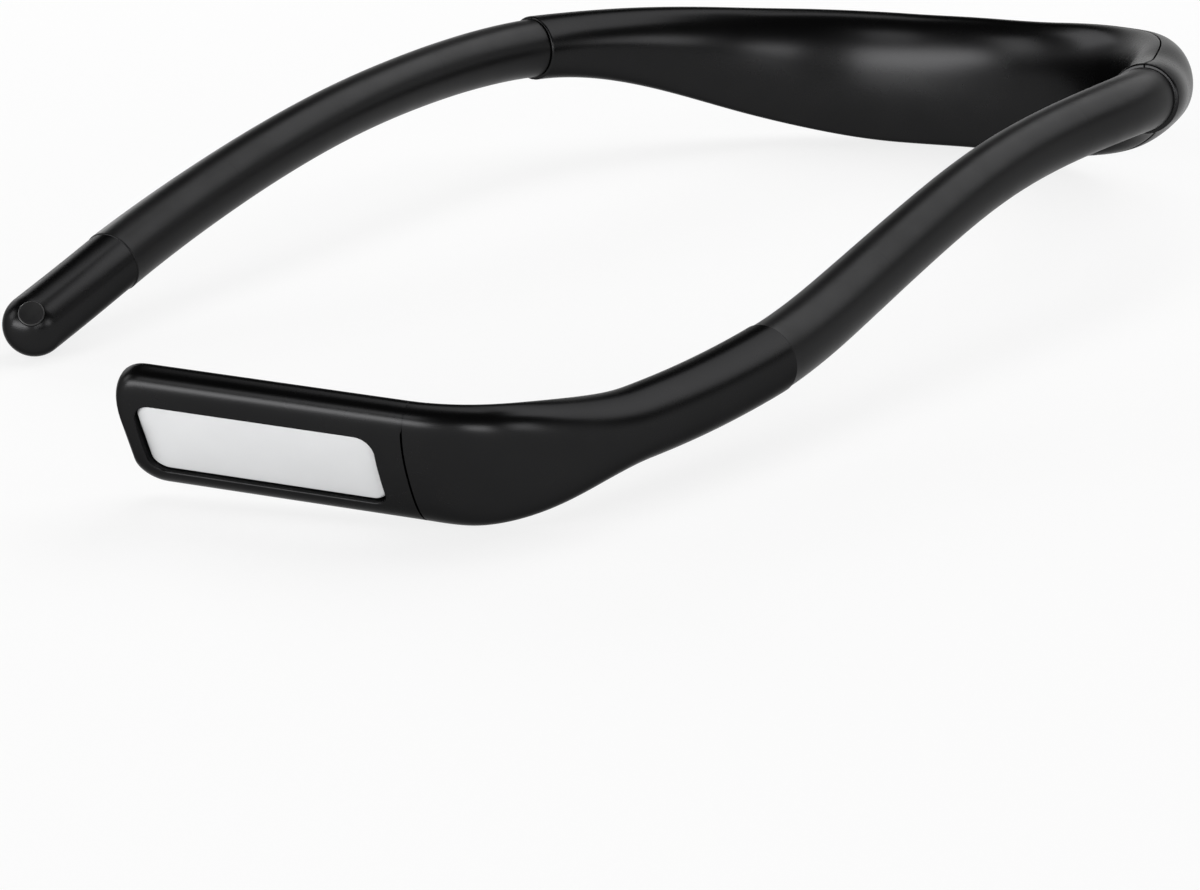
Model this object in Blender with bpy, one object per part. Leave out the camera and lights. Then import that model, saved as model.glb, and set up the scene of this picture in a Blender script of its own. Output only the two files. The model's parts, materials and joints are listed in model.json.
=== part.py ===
"""Neck reading light: a flat rear housing, two bendable sleeved arms, a switch cap and a lamp.

The whole light follows one smooth route. It runs from the cap's round tip, back along the
left arm, round the rear housing, forward along the right arm and along the lamp's neck to
the seam of the lamp head. Every piece is placed by its distance along that route, so the
pieces stay together when a size changes. Each arm bends at four places, and each place is
an empty that turns the pieces in front of it.

Units are metres. Z is up, the lamp points along -Y, and the lamp is on the +X side. The
light rests on the housing's lower rim, the cap and the lamp, with the middle of its
footprint at the origin.
"""

import math

import bmesh
import bpy
import numpy as np
from mathutils import Matrix

MM = 0.001
DEG = math.pi / 180.0

# Overall size of the route
HALF_SPAN = 84.0 * MM
REACH = 315.0 * MM
DROP = 32.0 * MM

# The head's own direction: its turn away from straight across, and its rise to the tip
HEAD_TURN = 14.4 * DEG
HEAD_RISE = 4.3 * DEG

# Places along the route, as shares of HALF_SPAN across, REACH forward and DROP up
CAP_SHARES = ((-0.971, 0.795, -0.888), (-0.971, 0.747, -0.716))
LEFT_FRONT_SEAM_SHARES = ((-0.9743, 0.715, -0.6034),)
LEFT_ARM_SHARES = (
    (-0.986, 0.630, -0.344),
    (-0.990, 0.542, -0.109),
    (-0.995, 0.454, 0.072),
    (-1.007, 0.366, 0.184),
    (-1.004, 0.278, 0.256),
)
LEFT_REAR_SEAM_SHARES = ((-0.9739, 0.2207, 0.2793),)
HOUSING_SIDE_SHARES = (
    (0.963, 0.210, 0.280),
    (0.8946, 0.165, 0.2632),
    (0.811, 0.124, 0.213),
    (0.7156, 0.089, 0.143),
    (0.6015, 0.058, 0.0661),
    (0.4714, 0.033, 0.0054),
    (0.323, 0.0146, -0.0398),
    (0.164, 0.0037, -0.0596),
)
HOUSING_MIDDLE_SHARES = ((0.0, 0.0, -0.061),)
RIGHT_REAR_SEAM_SHARES = ((1.0137, 0.2439, 0.301),)
RIGHT_ARM_SHARES = (
    (1.0304, 0.2594, 0.3068),
    (1.0112, 0.362, 0.2094),
    (0.976, 0.449, 0.041),
    (0.962, 0.537, -0.206),
    (0.956, 0.625, -0.482),
)
RIGHT_FRONT_SEAM_SHARES = ((0.9498, 0.7186, -0.7241),)
NECK_SHARES = (
    (0.943, 0.739, -0.763),
    (0.912, 0.8095, -0.870),
    (0.864, 0.880, -0.948),
    (0.826, 0.9146, -0.985),
    (0.748, 0.943, -1.000),
)
HEAD_SEAM_SHARES = ((0.6362, 0.9558, -0.985),)

# Clearances
GAP = 0.3 * MM
OVERRUN = 1.0 * MM

# Rear housing
HOUSING_HALF_HEIGHT = 15.8 * MM
HOUSING_HALF_THICKNESS = 6.1 * MM
HOUSING_END_RADIUS = 7.6 * MM
HOUSING_WALL = 1.5 * MM
BAND_POWER = 2.3
ROUND_POWER = 2.0
SHOULDER_SHARES = (0.187, 0.983)

# Arms
SLEEVE_WAIST_RADIUS = 6.0 * MM
SLEEVE_REAR_FLARE = 0.9 * MM
SLEEVE_FRONT_FLARE = 0.75 * MM
FLEX_HALF_LENGTH = 7.0 * MM
CORE_RADIUS = 3.0 * MM
BENDS_PER_ARM = 4

# Ferrules that join the cores to the housing, the cap and the neck
FERRULE_WALL = 0.7 * MM
REAR_FERRULE_INSIDE = 12.0 * MM
REAR_FERRULE_OUTSIDE = 8.0 * MM
FRONT_FERRULE_INSIDE = 10.0 * MM
FRONT_FERRULE_OUTSIDE = 8.0 * MM
CORE_SETBACK = 2.0 * MM
SOCKET_STEP = 0.8 * MM

# End cap, its button and its switch, with heights measured along the button's own line. The
# carrier's straight part starts and ends at shares of the cap's length.
CAP_RADIUS = 6.6 * MM
CAP_WALL = 1.3 * MM
BUTTON_DIRECTION_SHARES = (0.492, -0.694, 0.526)
BUTTON_RADIUS = 2.7 * MM
BUTTON_FLANGE = 0.6 * MM
BUTTON_FLANGE_THICKNESS = 0.8 * MM
BUTTON_SINK = 0.15 * MM
BUTTON_BEVEL = 0.2 * MM
PLUNGER_RADIUS = 1.1 * MM
PLUNGER_LENGTH = 1.4 * MM
SWITCH_WIDTH = 5.2 * MM
SWITCH_HEIGHT = 1.5 * MM
SWITCH_SHOULDER = 0.5 * MM
SWITCH_BOARD_RADIUS = 3.6 * MM
SWITCH_BOARD_THICKNESS = 0.8 * MM
CARRIER_TOP_RADIUS = 3.3 * MM
CARRIER_CLEARANCE = 0.4 * MM
CARRIER_SHARES = (0.30, 0.41)

# Lamp neck
NECK_RADIUS = 6.95 * MM
NECK_WALL = 1.5 * MM
NECK_FLATTEN_SHARE = 0.52
TONGUE_INSIDE_NECK = 4.0 * MM
TONGUE_INSIDE_HEAD = 3.5 * MM
TONGUE_HALF_HEIGHT = 8.0 * MM
TONGUE_HALF_THICKNESS = 1.5 * MM
TONGUE_DROP = 0.9 * MM

# Lamp head: x runs from the seam to the tip, y out of the light face, z up the face
HEAD_LENGTH = 56.8 * MM
HEAD_HALF_HEIGHT = 14.6 * MM
HEAD_HALF_THICKNESS = 4.3 * MM
HEAD_TILT = 37.0 * DEG
HEAD_WALL = 1.4 * MM
HEAD_BACK_POWER = 2.8
HEAD_FRONT_POWER = 4.0
HEAD_CORNER = 5.8 * MM
HEAD_SEAM_CORNER = 0.5 * MM
HEAD_END_ROUNDING = 2.6 * MM
HEAD_FLAT_SINK = 0.1 * MM
HEAD_FLOOR_SINK = 0.1 * MM
PARTING_HEIGHT = 1.15 * MM
BACK_LEVEL_SHARES = (-0.10, -0.42, -0.70, -0.89)
FRONT_LEVEL_SHARES = (0.52, 0.76, 0.90)
CAVITY_LEVEL_SHARES = (-0.40, -0.80)

# Light window, diffuser and light board
WINDOW_TIP_MARGIN = 4.5 * MM
WINDOW_SEAM_MARGIN = 6.2 * MM
WINDOW_LENGTH = HEAD_LENGTH - WINDOW_TIP_MARGIN - WINDOW_SEAM_MARGIN
WINDOW_HEIGHT = 18.0 * MM
WINDOW_LIFT = 0.8 * MM
WINDOW_CORNER = 3.0 * MM
WINDOW_LAND = 1.2 * MM
DIFFUSER_SINK = 0.65 * MM
DIFFUSER_THICKNESS = 1.2 * MM
REFLECTOR_WALL = 1.6 * MM
LIGHT_BOARD_THICKNESS = 1.0 * MM
LIGHT_BOARD_HALF_HEIGHT = 7.2 * MM
LIGHT_CHIP_LENGTH = 2.8 * MM
LIGHT_CHIP_WIDTH = 2.0 * MM
LIGHT_CHIP_HEIGHT = 0.7 * MM
LIGHT_CHIP_PITCH = 7.0 * MM
LIGHT_CHIP_ROW_PITCH = 5.6 * MM

# Battery
BATTERY_OFFSET = 25.0 * MM
BATTERY_LENGTH = 32.0 * MM
BATTERY_HEIGHT = 16.0 * MM
BATTERY_THICKNESS = 4.6 * MM
BATTERY_SHIFT = 0.55 * MM
PAD_LENGTH = 20.0 * MM
PAD_HEIGHT = 10.0 * MM
PAD_THICKNESS = 0.6 * MM

# Main board and what it carries
BOARD_OFFSET = 26.0 * MM
BOARD_LENGTH = 34.0 * MM
BOARD_HEIGHT = 17.0 * MM
BOARD_THICKNESS = 1.0 * MM
BOARD_DROP = 2.0 * MM
CHIP_THICKNESS = 1.0 * MM
SCREW_MARGIN = 4.0 * MM
SCREW_SPREAD = 0.5 * BOARD_LENGTH - SCREW_MARGIN
SCREW_DROP = 2.0 * MM
SCREW_RADIUS = 0.8 * MM
SCREW_HEAD_RADIUS = 1.7 * MM
SCREW_HEAD_THICKNESS = 0.8 * MM
SCREW_SHOULDER_LENGTH = 1.7 * MM
USB_WIDTH = 8.9 * MM
USB_HEIGHT = 3.2 * MM
USB_DEPTH = 7.3 * MM
USB_WALL = 0.35 * MM
USB_TONGUE_WIDTH = 6.6 * MM
USB_TONGUE_THICKNESS = 0.7 * MM
USB_TONGUE_DEPTH = 5.0 * MM
LIGHT_PIN_RADIUS = 0.7 * MM
LIGHT_PIN_OFFSET = 9.5 * MM

# Leads
LEAD_RADIUS = 0.6 * MM
LAMP_LEAD_RADIUS = 0.8 * MM

# The driver chip and the small chips on the main board, as shares of it: place along it,
# place up it, length and height
DRIVER_CHIP_SHARES = (0.02, 0.20, 0.22, 0.30)
SMALL_CHIP_SHARES = ((-0.30, 0.22, 0.16, 0.24), (0.26, 0.26, 0.10, 0.20), (0.30, -0.30, 0.12, 0.16))

# Mesh fineness
ROUTE_SAMPLES = 4000
HOUSING_STATIONS = 13
ARC_STEPS = 12
SLEEVE_SIDES = 16
CORE_SIDES = 10
SHELL_SIDES = 20
LEAD_SIDES = 6
DOME_STEPS = 3
CORNER_STEPS = 4
SIDE_STEPS = 4
STATION_LENGTH = 9.0 * MM
LEAD_STATION_LENGTH = 7.0 * MM

# Colour, roughness and metallic value of each material
MATERIALS = {
    "gloss_black": ((0.012, 0.012, 0.014, 1.0), 0.18, 0.0),
    "silicone_black": ((0.016, 0.016, 0.017, 1.0), 0.62, 0.0),
    "button_black": ((0.03, 0.03, 0.032, 1.0), 0.35, 0.0),
    "diffuser_white": ((0.80, 0.80, 0.80, 1.0), 0.45, 0.0),
    "white_plastic": ((0.85, 0.85, 0.84, 1.0), 0.50, 0.0),
    "steel": ((0.55, 0.55, 0.56, 1.0), 0.30, 1.0),
    "board_green": ((0.02, 0.10, 0.05, 1.0), 0.50, 0.0),
    "chip_black": ((0.02, 0.02, 0.02, 1.0), 0.55, 0.0),
    "led_yellow": ((0.85, 0.70, 0.20, 1.0), 0.40, 0.0),
    "battery_silver": ((0.60, 0.62, 0.64, 1.0), 0.40, 0.3),
    "pad_grey": ((0.20, 0.20, 0.20, 1.0), 0.80, 0.0),
    "lead_red": ((0.35, 0.03, 0.03, 1.0), 0.50, 0.0),
    "light_pipe": ((0.75, 0.75, 0.75, 1.0), 0.30, 0.0),
    "rigid_black": ((0.02, 0.02, 0.02, 1.0), 0.50, 0.0),
}


def unit(vector):
    return vector / np.linalg.norm(vector)


def smoothstep(start, end, value):
    x = min(max((value - start) / (end - start), 0.0), 1.0)
    return x * x * (3.0 - 2.0 * x)


def route_points(shares, mirror=1.0):
    """Turn a table of shares into points."""
    scale = np.array([mirror * HALF_SPAN, -REACH, DROP])
    return [np.array(row) * scale for row in shares]


def head_direction():
    """The way the head points, from its seam to its tip."""
    level = math.cos(HEAD_RISE)
    return np.array([
        -math.cos(HEAD_TURN) * level,
        -math.sin(HEAD_TURN) * level,
        math.sin(HEAD_RISE),
    ])


class Route:
    """One smooth line through all the places, with a frame at every distance along it."""

    def __init__(self, points, end_direction):
        points = np.array(points)
        knots = np.concatenate([[0.0], np.cumsum(np.linalg.norm(np.diff(points, axis=0), axis=1))])
        steps = np.diff(knots)
        chords = np.diff(points, axis=0) / steps[:, None]
        count = len(points)
        matrix = np.eye(count)
        target = np.zeros((count, 3))
        for i in range(1, count - 1):
            matrix[i, i - 1:i + 2] = steps[i - 1], 2.0 * (steps[i - 1] + steps[i]), steps[i]
            target[i] = 6.0 * (chords[i] - chords[i - 1])
        matrix[-1, -2:] = steps[-1], 2.0 * steps[-1]
        target[-1] = 6.0 * (end_direction - chords[-1])
        bend = np.linalg.solve(matrix, target)
        places = np.linspace(0.0, knots[-1], ROUTE_SAMPLES)
        row = np.clip(np.searchsorted(knots, places, side="right") - 1, 0, count - 2)
        width = steps[row]
        after = ((places - knots[row]) / width)[:, None]
        before = 1.0 - after
        curve = (before ** 3 - before) * bend[row] + (after ** 3 - after) * bend[row + 1]
        line = before * points[row] + after * points[row + 1]
        self.places = line + curve * (width[:, None] ** 2) / 6.0
        lengths = np.linalg.norm(np.diff(self.places, axis=0), axis=1)
        self.distance = np.concatenate([[0.0], np.cumsum(lengths)])
        self.knot_distance = np.interp(knots, places, self.distance)
        self.tangents = np.gradient(self.places, self.distance, axis=0)

    def frame(self, distance):
        """The point, the way along, up and out at a distance along the route."""
        inside = min(max(distance, 0.0), self.distance[-1])
        point = np.array([np.interp(inside, self.distance, self.places[:, i]) for i in range(3)])
        along = unit(np.array([np.interp(inside, self.distance, self.tangents[:, i]) for i in range(3)]))
        point = point + along * (distance - inside)
        up = np.array([0.0, 0.0, 1.0])
        up = unit(up - along * np.dot(up, along))
        return point, along, up, np.cross(up, along)


def make_route():
    """The route and the distances of its seams."""
    left_housing = route_points(HOUSING_SIDE_SHARES, -1.0)
    right_housing = route_points(HOUSING_SIDE_SHARES)[::-1]
    groups = (
        ("tip", route_points(CAP_SHARES)),
        ("left_front", route_points(LEFT_FRONT_SEAM_SHARES)),
        ("left_arm", route_points(LEFT_ARM_SHARES)),
        ("left_rear", route_points(LEFT_REAR_SEAM_SHARES)),
        ("left_housing", left_housing),
        ("lowest", route_points(HOUSING_MIDDLE_SHARES)),
        ("right_housing", right_housing),
        ("right_rear", route_points(RIGHT_REAR_SEAM_SHARES)),
        ("right_arm", route_points(RIGHT_ARM_SHARES)),
        ("right_front", route_points(RIGHT_FRONT_SEAM_SHARES)),
        ("neck", route_points(NECK_SHARES)),
        ("head", route_points(HEAD_SEAM_SHARES)),
    )
    points = []
    first = {}
    for name, group in groups:
        first[name] = len(points)
        points.extend(group)
    route = Route(points, head_direction())
    seams = {name: route.knot_distance[index] for name, index in first.items()}
    seams["middle"] = 0.5 * (seams["left_rear"] + seams["right_rear"])
    return route, seams


ROUTE, SEAMS = make_route()
HOUSING_HALF_LENGTH = 0.5 * (SEAMS["right_rear"] - SEAMS["left_rear"])
BORE_RADIUS = CORE_RADIUS + GAP
FERRULE_RADIUS = BORE_RADIUS + FERRULE_WALL
SOCKET_RADIUS = FERRULE_RADIUS + GAP


class Arm:
    """One arm, measured from its rear seam towards its front seam."""

    def __init__(self, side):
        self.side = side
        self.sign = 1.0 if side == "right" else -1.0
        self.rear = SEAMS[side + "_rear"]
        self.length = abs(SEAMS[side + "_front"] - self.rear)
        self.bend_spacing = self.length / BENDS_PER_ARM

    def frame(self, along):
        """The point, the way forward, up and out at a distance from the rear seam."""
        point, direction, up, out = ROUTE.frame(self.rear + self.sign * along)
        return point, direction * self.sign, up, out

    def bend(self, number):
        return (number + 0.5) * self.bend_spacing

    def sleeve_radius(self, along):
        share = min(max(along / self.length, 0.0), 1.0)
        rear = SLEEVE_REAR_FLARE * (1.0 - share) ** 3
        return SLEEVE_WAIST_RADIUS + rear + SLEEVE_FRONT_FLARE * share ** 2


ARMS = {"left": Arm("left"), "right": Arm("right")}


def clear_scene():
    for item in list(bpy.data.objects):
        bpy.data.objects.remove(item, do_unlink=True)


def make_material(name):
    colour, roughness, metallic = MATERIALS[name]
    material = bpy.data.materials.new(name)
    material.use_nodes = True
    shader = material.node_tree.nodes["Principled BSDF"]
    shader.inputs["Base Color"].default_value = colour
    shader.inputs["Roughness"].default_value = roughness
    shader.inputs["Metallic"].default_value = metallic
    material.diffuse_color = colour
    return material


class Bodies:
    """The empties that carry the pieces. Each one sits on its joint, with Z along the axis."""

    def __init__(self):
        self.empties = {}
        self.places = {}

    def add(self, name, parent, point, axis, forward):
        across = unit(np.cross(axis, forward))
        matrix = Matrix.Identity(4)
        for column, vector in enumerate((np.cross(across, axis), across, axis, point)):
            for row in range(3):
                matrix[row][column] = float(vector[row])
        empty = bpy.data.objects.new(name + "_pivot", None)
        bpy.context.scene.collection.objects.link(empty)
        empty.empty_display_size = CAP_RADIUS
        if parent is None:
            empty.matrix_local = matrix
        else:
            empty.parent = self.empties[parent]
            empty.matrix_local = self.places[parent].inverted() @ matrix
        self.empties[name] = empty
        self.places[name] = matrix

    def piece(self, name, body, material, verts, faces):
        """Make one closed solid, with its origin at its middle, and hang it on its body."""
        verts = np.array(verts)
        middle = 0.5 * (verts.min(axis=0) + verts.max(axis=0))
        mesh = bpy.data.meshes.new(name)
        mesh.from_pydata([tuple(v) for v in verts - middle], [], faces)
        work = bmesh.new()
        work.from_mesh(mesh)
        bmesh.ops.recalc_face_normals(work, faces=work.faces)
        work.to_mesh(mesh)
        work.free()
        mesh.materials.append(make_material(material))
        mesh.shade_smooth()
        mesh.set_sharp_from_angle(angle=35.0 * DEG)
        item = bpy.data.objects.new(name, mesh)
        bpy.context.scene.collection.objects.link(item)
        item.parent = self.empties[body]
        item.matrix_local = self.places[body].inverted() @ Matrix.Translation(middle.tolist())
        return item

    def combine(self, item, cutter, operation="DIFFERENCE"):
        """Cut a piece with a guide that the build leaves out, or join the guide to it."""
        cutter.hide_render = True
        cutter.display_type = "WIRE"
        change = item.modifiers.new(cutter.name, "BOOLEAN")
        change.operation = operation
        change.solver = "EXACT"
        change.object = cutter


def circle(frame, radius, sides, up_shift=0.0, out_shift=0.0):
    """A ring of points round the route."""
    point, _, up, out = frame
    centre = point + up * up_shift + out * out_shift
    turns = [2.0 * math.pi * i / sides for i in range(sides)]
    return [centre + radius * (math.cos(a) * up + math.sin(a) * out) for a in turns]


def loft(rings, ends):
    """Join equal rings with faces. Ends are "caps", or "loop" to join the last to the first."""
    sides = len(rings[0])
    verts = [v for ring in rings for v in ring]
    faces = []
    count = len(rings)
    for row in range(count if ends == "loop" else count - 1):
        start = row * sides
        after = ((row + 1) % count) * sides
        for i in range(sides):
            j = (i + 1) % sides
            faces.append((start + i, start + j, after + j, after + i))
    if ends == "caps":
        faces.append(tuple(range(sides))[::-1])
        faces.append(tuple(range((count - 1) * sides, count * sides)))
    return verts, faces


def tube(outer, inner):
    """A hollow piece that is open at both ends."""
    return loft(list(outer) + list(inner)[::-1], "loop")


def join_shells(parts):
    """Several closed shells in one list of points and faces."""
    verts = []
    faces = []
    for part_verts, part_faces in parts:
        start = len(verts)
        verts.extend(part_verts)
        faces.extend(tuple(start + i for i in face) for face in part_faces)
    return verts, faces


def block(frame, along, up, out, size):
    """A box in a frame: its middle, then its length along, up and out."""
    point, forward, upward, outward = frame
    centre = point + forward * along + upward * up + outward * out
    half = [0.5 * value for value in size]
    rings = []
    for end in (-half[0], half[0]):
        rings.append([
            centre + forward * end + upward * (a * half[1]) + outward * (b * half[2])
            for a, b in ((-1, -1), (1, -1), (1, 1), (-1, 1))
        ])
    return loft(rings, "caps")


def turned(centre, axis, side, profile, sides):
    """A solid turned round an axis: each row of the profile is a radius and a height."""
    other = np.cross(axis, side)
    rings = []
    for radius, height in profile:
        turns = [2.0 * math.pi * i / sides for i in range(sides)]
        rings.append([
            centre + axis * height + radius * (math.cos(a) * side + math.sin(a) * other)
            for a in turns
        ])
    return rings


def spaced(start, end, longest):
    """Distances from start to end, no further apart than longest."""
    count = max(1, math.ceil(abs(end - start) / longest))
    return [start + (end - start) * i / count for i in range(count + 1)]


def power_curve(angle, half_up, half_out, power):
    """A point of a rounded outline: up and out."""
    c = math.cos(angle)
    s = math.sin(angle)
    share = 2.0 / power
    return (
        half_up * math.copysign(abs(c) ** share, c),
        half_out * math.copysign(abs(s) ** share, s),
    )


# Rear housing


def housing_section(offset):
    """Half height, half thickness and outline power at a distance from the middle."""
    fade = smoothstep(SHOULDER_SHARES[0], SHOULDER_SHARES[1], abs(offset) / HOUSING_HALF_LENGTH)
    height = HOUSING_HALF_HEIGHT + (HOUSING_END_RADIUS - HOUSING_HALF_HEIGHT) * fade
    thickness = HOUSING_HALF_THICKNESS + (HOUSING_END_RADIUS - HOUSING_HALF_THICKNESS) * fade
    power = BAND_POWER + (ROUND_POWER - BAND_POWER) * fade
    return height, thickness, power


def housing_stations():
    """Distances from the middle, with whether the bore is the ferrule's socket there."""
    socket = HOUSING_HALF_LENGTH - REAR_FERRULE_INSIDE - GAP
    step = socket - SOCKET_STEP
    side = [(step * i / HOUSING_STATIONS, False) for i in range(1, HOUSING_STATIONS + 1)]
    side.append((socket, True))
    side.append((0.5 * (socket + HOUSING_HALF_LENGTH), True))
    side.append((HOUSING_HALF_LENGTH - 0.5 * GAP, True))
    return [(-x, bored) for x, bored in side[::-1]] + [(0.0, False)] + side


def half_shell(facing):
    """One of the two housing shells: facing is 1 for the back and -1 for the neck side."""
    verts = []
    faces = []
    row_size = 2 * (ARC_STEPS + 1)
    stations = housing_stations()
    for offset, bored in stations:
        point, _, up, out = ROUTE.frame(SEAMS["middle"] + offset)
        height, thickness, power = housing_section(offset)
        bore = (SOCKET_RADIUS, SOCKET_RADIUS, ROUND_POWER)
        hollow = (height - HOUSING_WALL, thickness - HOUSING_WALL, power)
        for half_up, half_out, shape in ((height, thickness, power), bore if bored else hollow):
            for i in range(ARC_STEPS + 1):
                a, b = power_curve(math.pi * i / ARC_STEPS, half_up, half_out, shape)
                b = max(b, 0.5 * GAP)
                verts.append(point + up * a + out * (facing * b))
    last = len(stations) - 1
    for row in range(last):
        start = row * row_size
        after = start + row_size
        for first in (0, ARC_STEPS + 1):
            for i in range(first, first + ARC_STEPS):
                faces.append((start + i, start + i + 1, after + i + 1, after + i))
        for i in (0, ARC_STEPS):
            j = i + ARC_STEPS + 1
            faces.append((start + i, start + j, after + j, after + i))
    for start in (0, last * row_size):
        for i in range(ARC_STEPS):
            j = i + ARC_STEPS + 1
            faces.append((start + i, start + i + 1, start + j + 1, start + j))
    return verts, faces


def usb_loop(frame, up, width, height):
    """A ring with round ends: the outline of the charging socket at one height."""
    point, forward, upward, outward = frame
    radius = 0.5 * height
    straight = 0.5 * width - radius
    ring = []
    for end in (1.0, -1.0):
        for i in range(CORNER_STEPS + 1):
            angle = math.pi * i / CORNER_STEPS - 0.5 * math.pi
            ring.append(
                point + upward * up
                + forward * (end * (straight + radius * math.cos(angle)))
                + outward * (end * radius * math.sin(angle))
            )
    return ring


def make_housing(bodies):
    body = "housing"
    outer = bodies.piece("housing_outer_shell", body, "gloss_black", *half_shell(1.0))
    inner = bodies.piece("housing_inner_shell", body, "gloss_black", *half_shell(-1.0))

    battery = ROUTE.frame(SEAMS["middle"] - BATTERY_OFFSET)
    cell_size = (BATTERY_LENGTH, BATTERY_HEIGHT, BATTERY_THICKNESS)
    cell = block(battery, 0.0, 0.0, -BATTERY_SHIFT, cell_size)
    bodies.piece("battery_cell", body, "battery_silver", *cell)
    pad_out = -BATTERY_SHIFT - 0.5 * BATTERY_THICKNESS - GAP - 0.5 * PAD_THICKNESS
    pad = block(battery, 0.0, 0.0, pad_out, (PAD_LENGTH, PAD_HEIGHT, PAD_THICKNESS))
    bodies.piece("battery_pad", body, "pad_grey", *pad)

    board = ROUTE.frame(SEAMS["middle"] + BOARD_OFFSET)
    board_top = -0.5 * USB_HEIGHT - GAP
    board_size = (BOARD_LENGTH, BOARD_HEIGHT, BOARD_THICKNESS)
    board_out = board_top - 0.5 * BOARD_THICKNESS
    plate = block(board, 0.0, -BOARD_DROP, board_out, board_size)
    board_item = bodies.piece("main_board", body, "board_green", *plate)
    make_board_parts(bodies, body, board, board_top, board_item)
    make_charging(bodies, body, board, (outer, inner))
    make_housing_leads(bodies, body)


def board_block(board, shares, bottom, thickness):
    """A box on the main board, at a place and of a size that are shares of the board."""
    along, up, length, height = shares
    size = (length * BOARD_LENGTH, height * BOARD_HEIGHT, thickness)
    lift = up * BOARD_HEIGHT - BOARD_DROP
    return block(board, along * BOARD_LENGTH, lift, bottom + 0.5 * thickness, size)


def make_board_parts(bodies, body, board, board_top, board_item):
    """Chips on the main board, and the screws that hold it."""
    driver = board_block(board, DRIVER_CHIP_SHARES, board_top + GAP, CHIP_THICKNESS)
    bodies.piece("driver_chip", body, "chip_black", *driver)
    sunk = board_top - 0.5 * BOARD_THICKNESS
    thickness = CHIP_THICKNESS + 0.5 * BOARD_THICKNESS
    chips = [board_block(board, shares, sunk, thickness) for shares in SMALL_CHIP_SHARES]
    guide = bodies.piece("small_chips", body, "chip_black", *join_shells(chips))
    bodies.combine(board_item, guide, "UNION")

    point, forward, up, out = board
    board_back = board_top - BOARD_THICKNESS
    for number, end in enumerate((-1.0, 1.0)):
        place = point + forward * (end * SCREW_SPREAD) - up * SCREW_DROP
        profile = (
            (SCREW_HEAD_RADIUS, board_back - GAP - SCREW_SHOULDER_LENGTH),
            (SCREW_HEAD_RADIUS, board_back - GAP),
            (SCREW_RADIUS, board_back - GAP),
            (SCREW_RADIUS, board_top + GAP),
            (SCREW_HEAD_RADIUS, board_top + GAP),
            (SCREW_HEAD_RADIUS, board_top + GAP + SCREW_HEAD_THICKNESS),
        )
        screw = loft(turned(place, out, up, profile, CORE_SIDES), "caps")
        bodies.piece("board_screw_" + str(number + 1), body, "steel", *screw)
        hole_profile = (
            (SCREW_RADIUS + GAP, board_back - OVERRUN),
            (SCREW_RADIUS + GAP, board_top + OVERRUN),
        )
        hole = loft(turned(place, out, up, hole_profile, CORE_SIDES), "caps")
        cutter = bodies.piece("screw_hole_" + str(number + 1), body, "chip_black", *hole)
        bodies.combine(board_item, cutter)


def make_charging(bodies, body, board, shells):
    """The charging socket and the charge light, which look out of the lower rim."""
    point, forward, up, out = board
    rim = -housing_section(BOARD_OFFSET)[0]
    mouth = rim + GAP
    back = mouth + USB_DEPTH
    inside_width = USB_WIDTH - 2.0 * USB_WALL
    inside_height = USB_HEIGHT - 2.0 * USB_WALL
    rings = (
        usb_loop(board, back, USB_WIDTH, USB_HEIGHT),
        usb_loop(board, mouth, USB_WIDTH, USB_HEIGHT),
        usb_loop(board, mouth, inside_width, inside_height),
        usb_loop(board, back - USB_WALL, inside_width, inside_height),
    )
    bodies.piece("usb_socket", body, "steel", *loft(rings, "caps"))
    tongue_top = back - USB_WALL - GAP
    tongue_size = (USB_TONGUE_WIDTH, USB_TONGUE_DEPTH, USB_TONGUE_THICKNESS)
    tongue = block(board, 0.0, tongue_top - 0.5 * USB_TONGUE_DEPTH, 0.0, tongue_size)
    bodies.piece("usb_tongue", body, "rigid_black", *tongue)

    slot_rings = (
        usb_loop(board, rim - OVERRUN, USB_WIDTH + 2.0 * GAP, USB_HEIGHT + 2.0 * GAP),
        usb_loop(board, rim + HOUSING_WALL + OVERRUN, USB_WIDTH + 2.0 * GAP, USB_HEIGHT + 2.0 * GAP),
    )
    slot = bodies.piece("usb_slot", body, "chip_black", *loft(slot_rings, "caps"))

    pin_offset = BOARD_OFFSET + LIGHT_PIN_OFFSET
    place = point + forward * LIGHT_PIN_OFFSET
    pin_rim = -housing_section(pin_offset)[0]
    board_edge = -BOARD_DROP - 0.5 * BOARD_HEIGHT
    sagged = ROUTE.frame(SEAMS["middle"] + pin_offset)[0]
    place = place + out * float(np.dot(sagged - place, out))
    lift = float(np.dot(sagged - place, up))
    profile = ((LIGHT_PIN_RADIUS, pin_rim + lift + GAP), (LIGHT_PIN_RADIUS, board_edge - GAP))
    pin = loft(turned(place, up, forward, profile, CORE_SIDES), "caps")
    bodies.piece("charge_light", body, "light_pipe", *pin)
    hole_profile = (
        (LIGHT_PIN_RADIUS + GAP, pin_rim + lift - OVERRUN),
        (LIGHT_PIN_RADIUS + GAP, pin_rim + lift + HOUSING_WALL + OVERRUN),
    )
    hole = loft(turned(place, up, forward, hole_profile, CORE_SIDES), "caps")
    hole_cutter = bodies.piece("charge_light_hole", body, "chip_black", *hole)
    for shell in shells:
        bodies.combine(shell, slot)
        bodies.combine(shell, hole_cutter)


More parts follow.
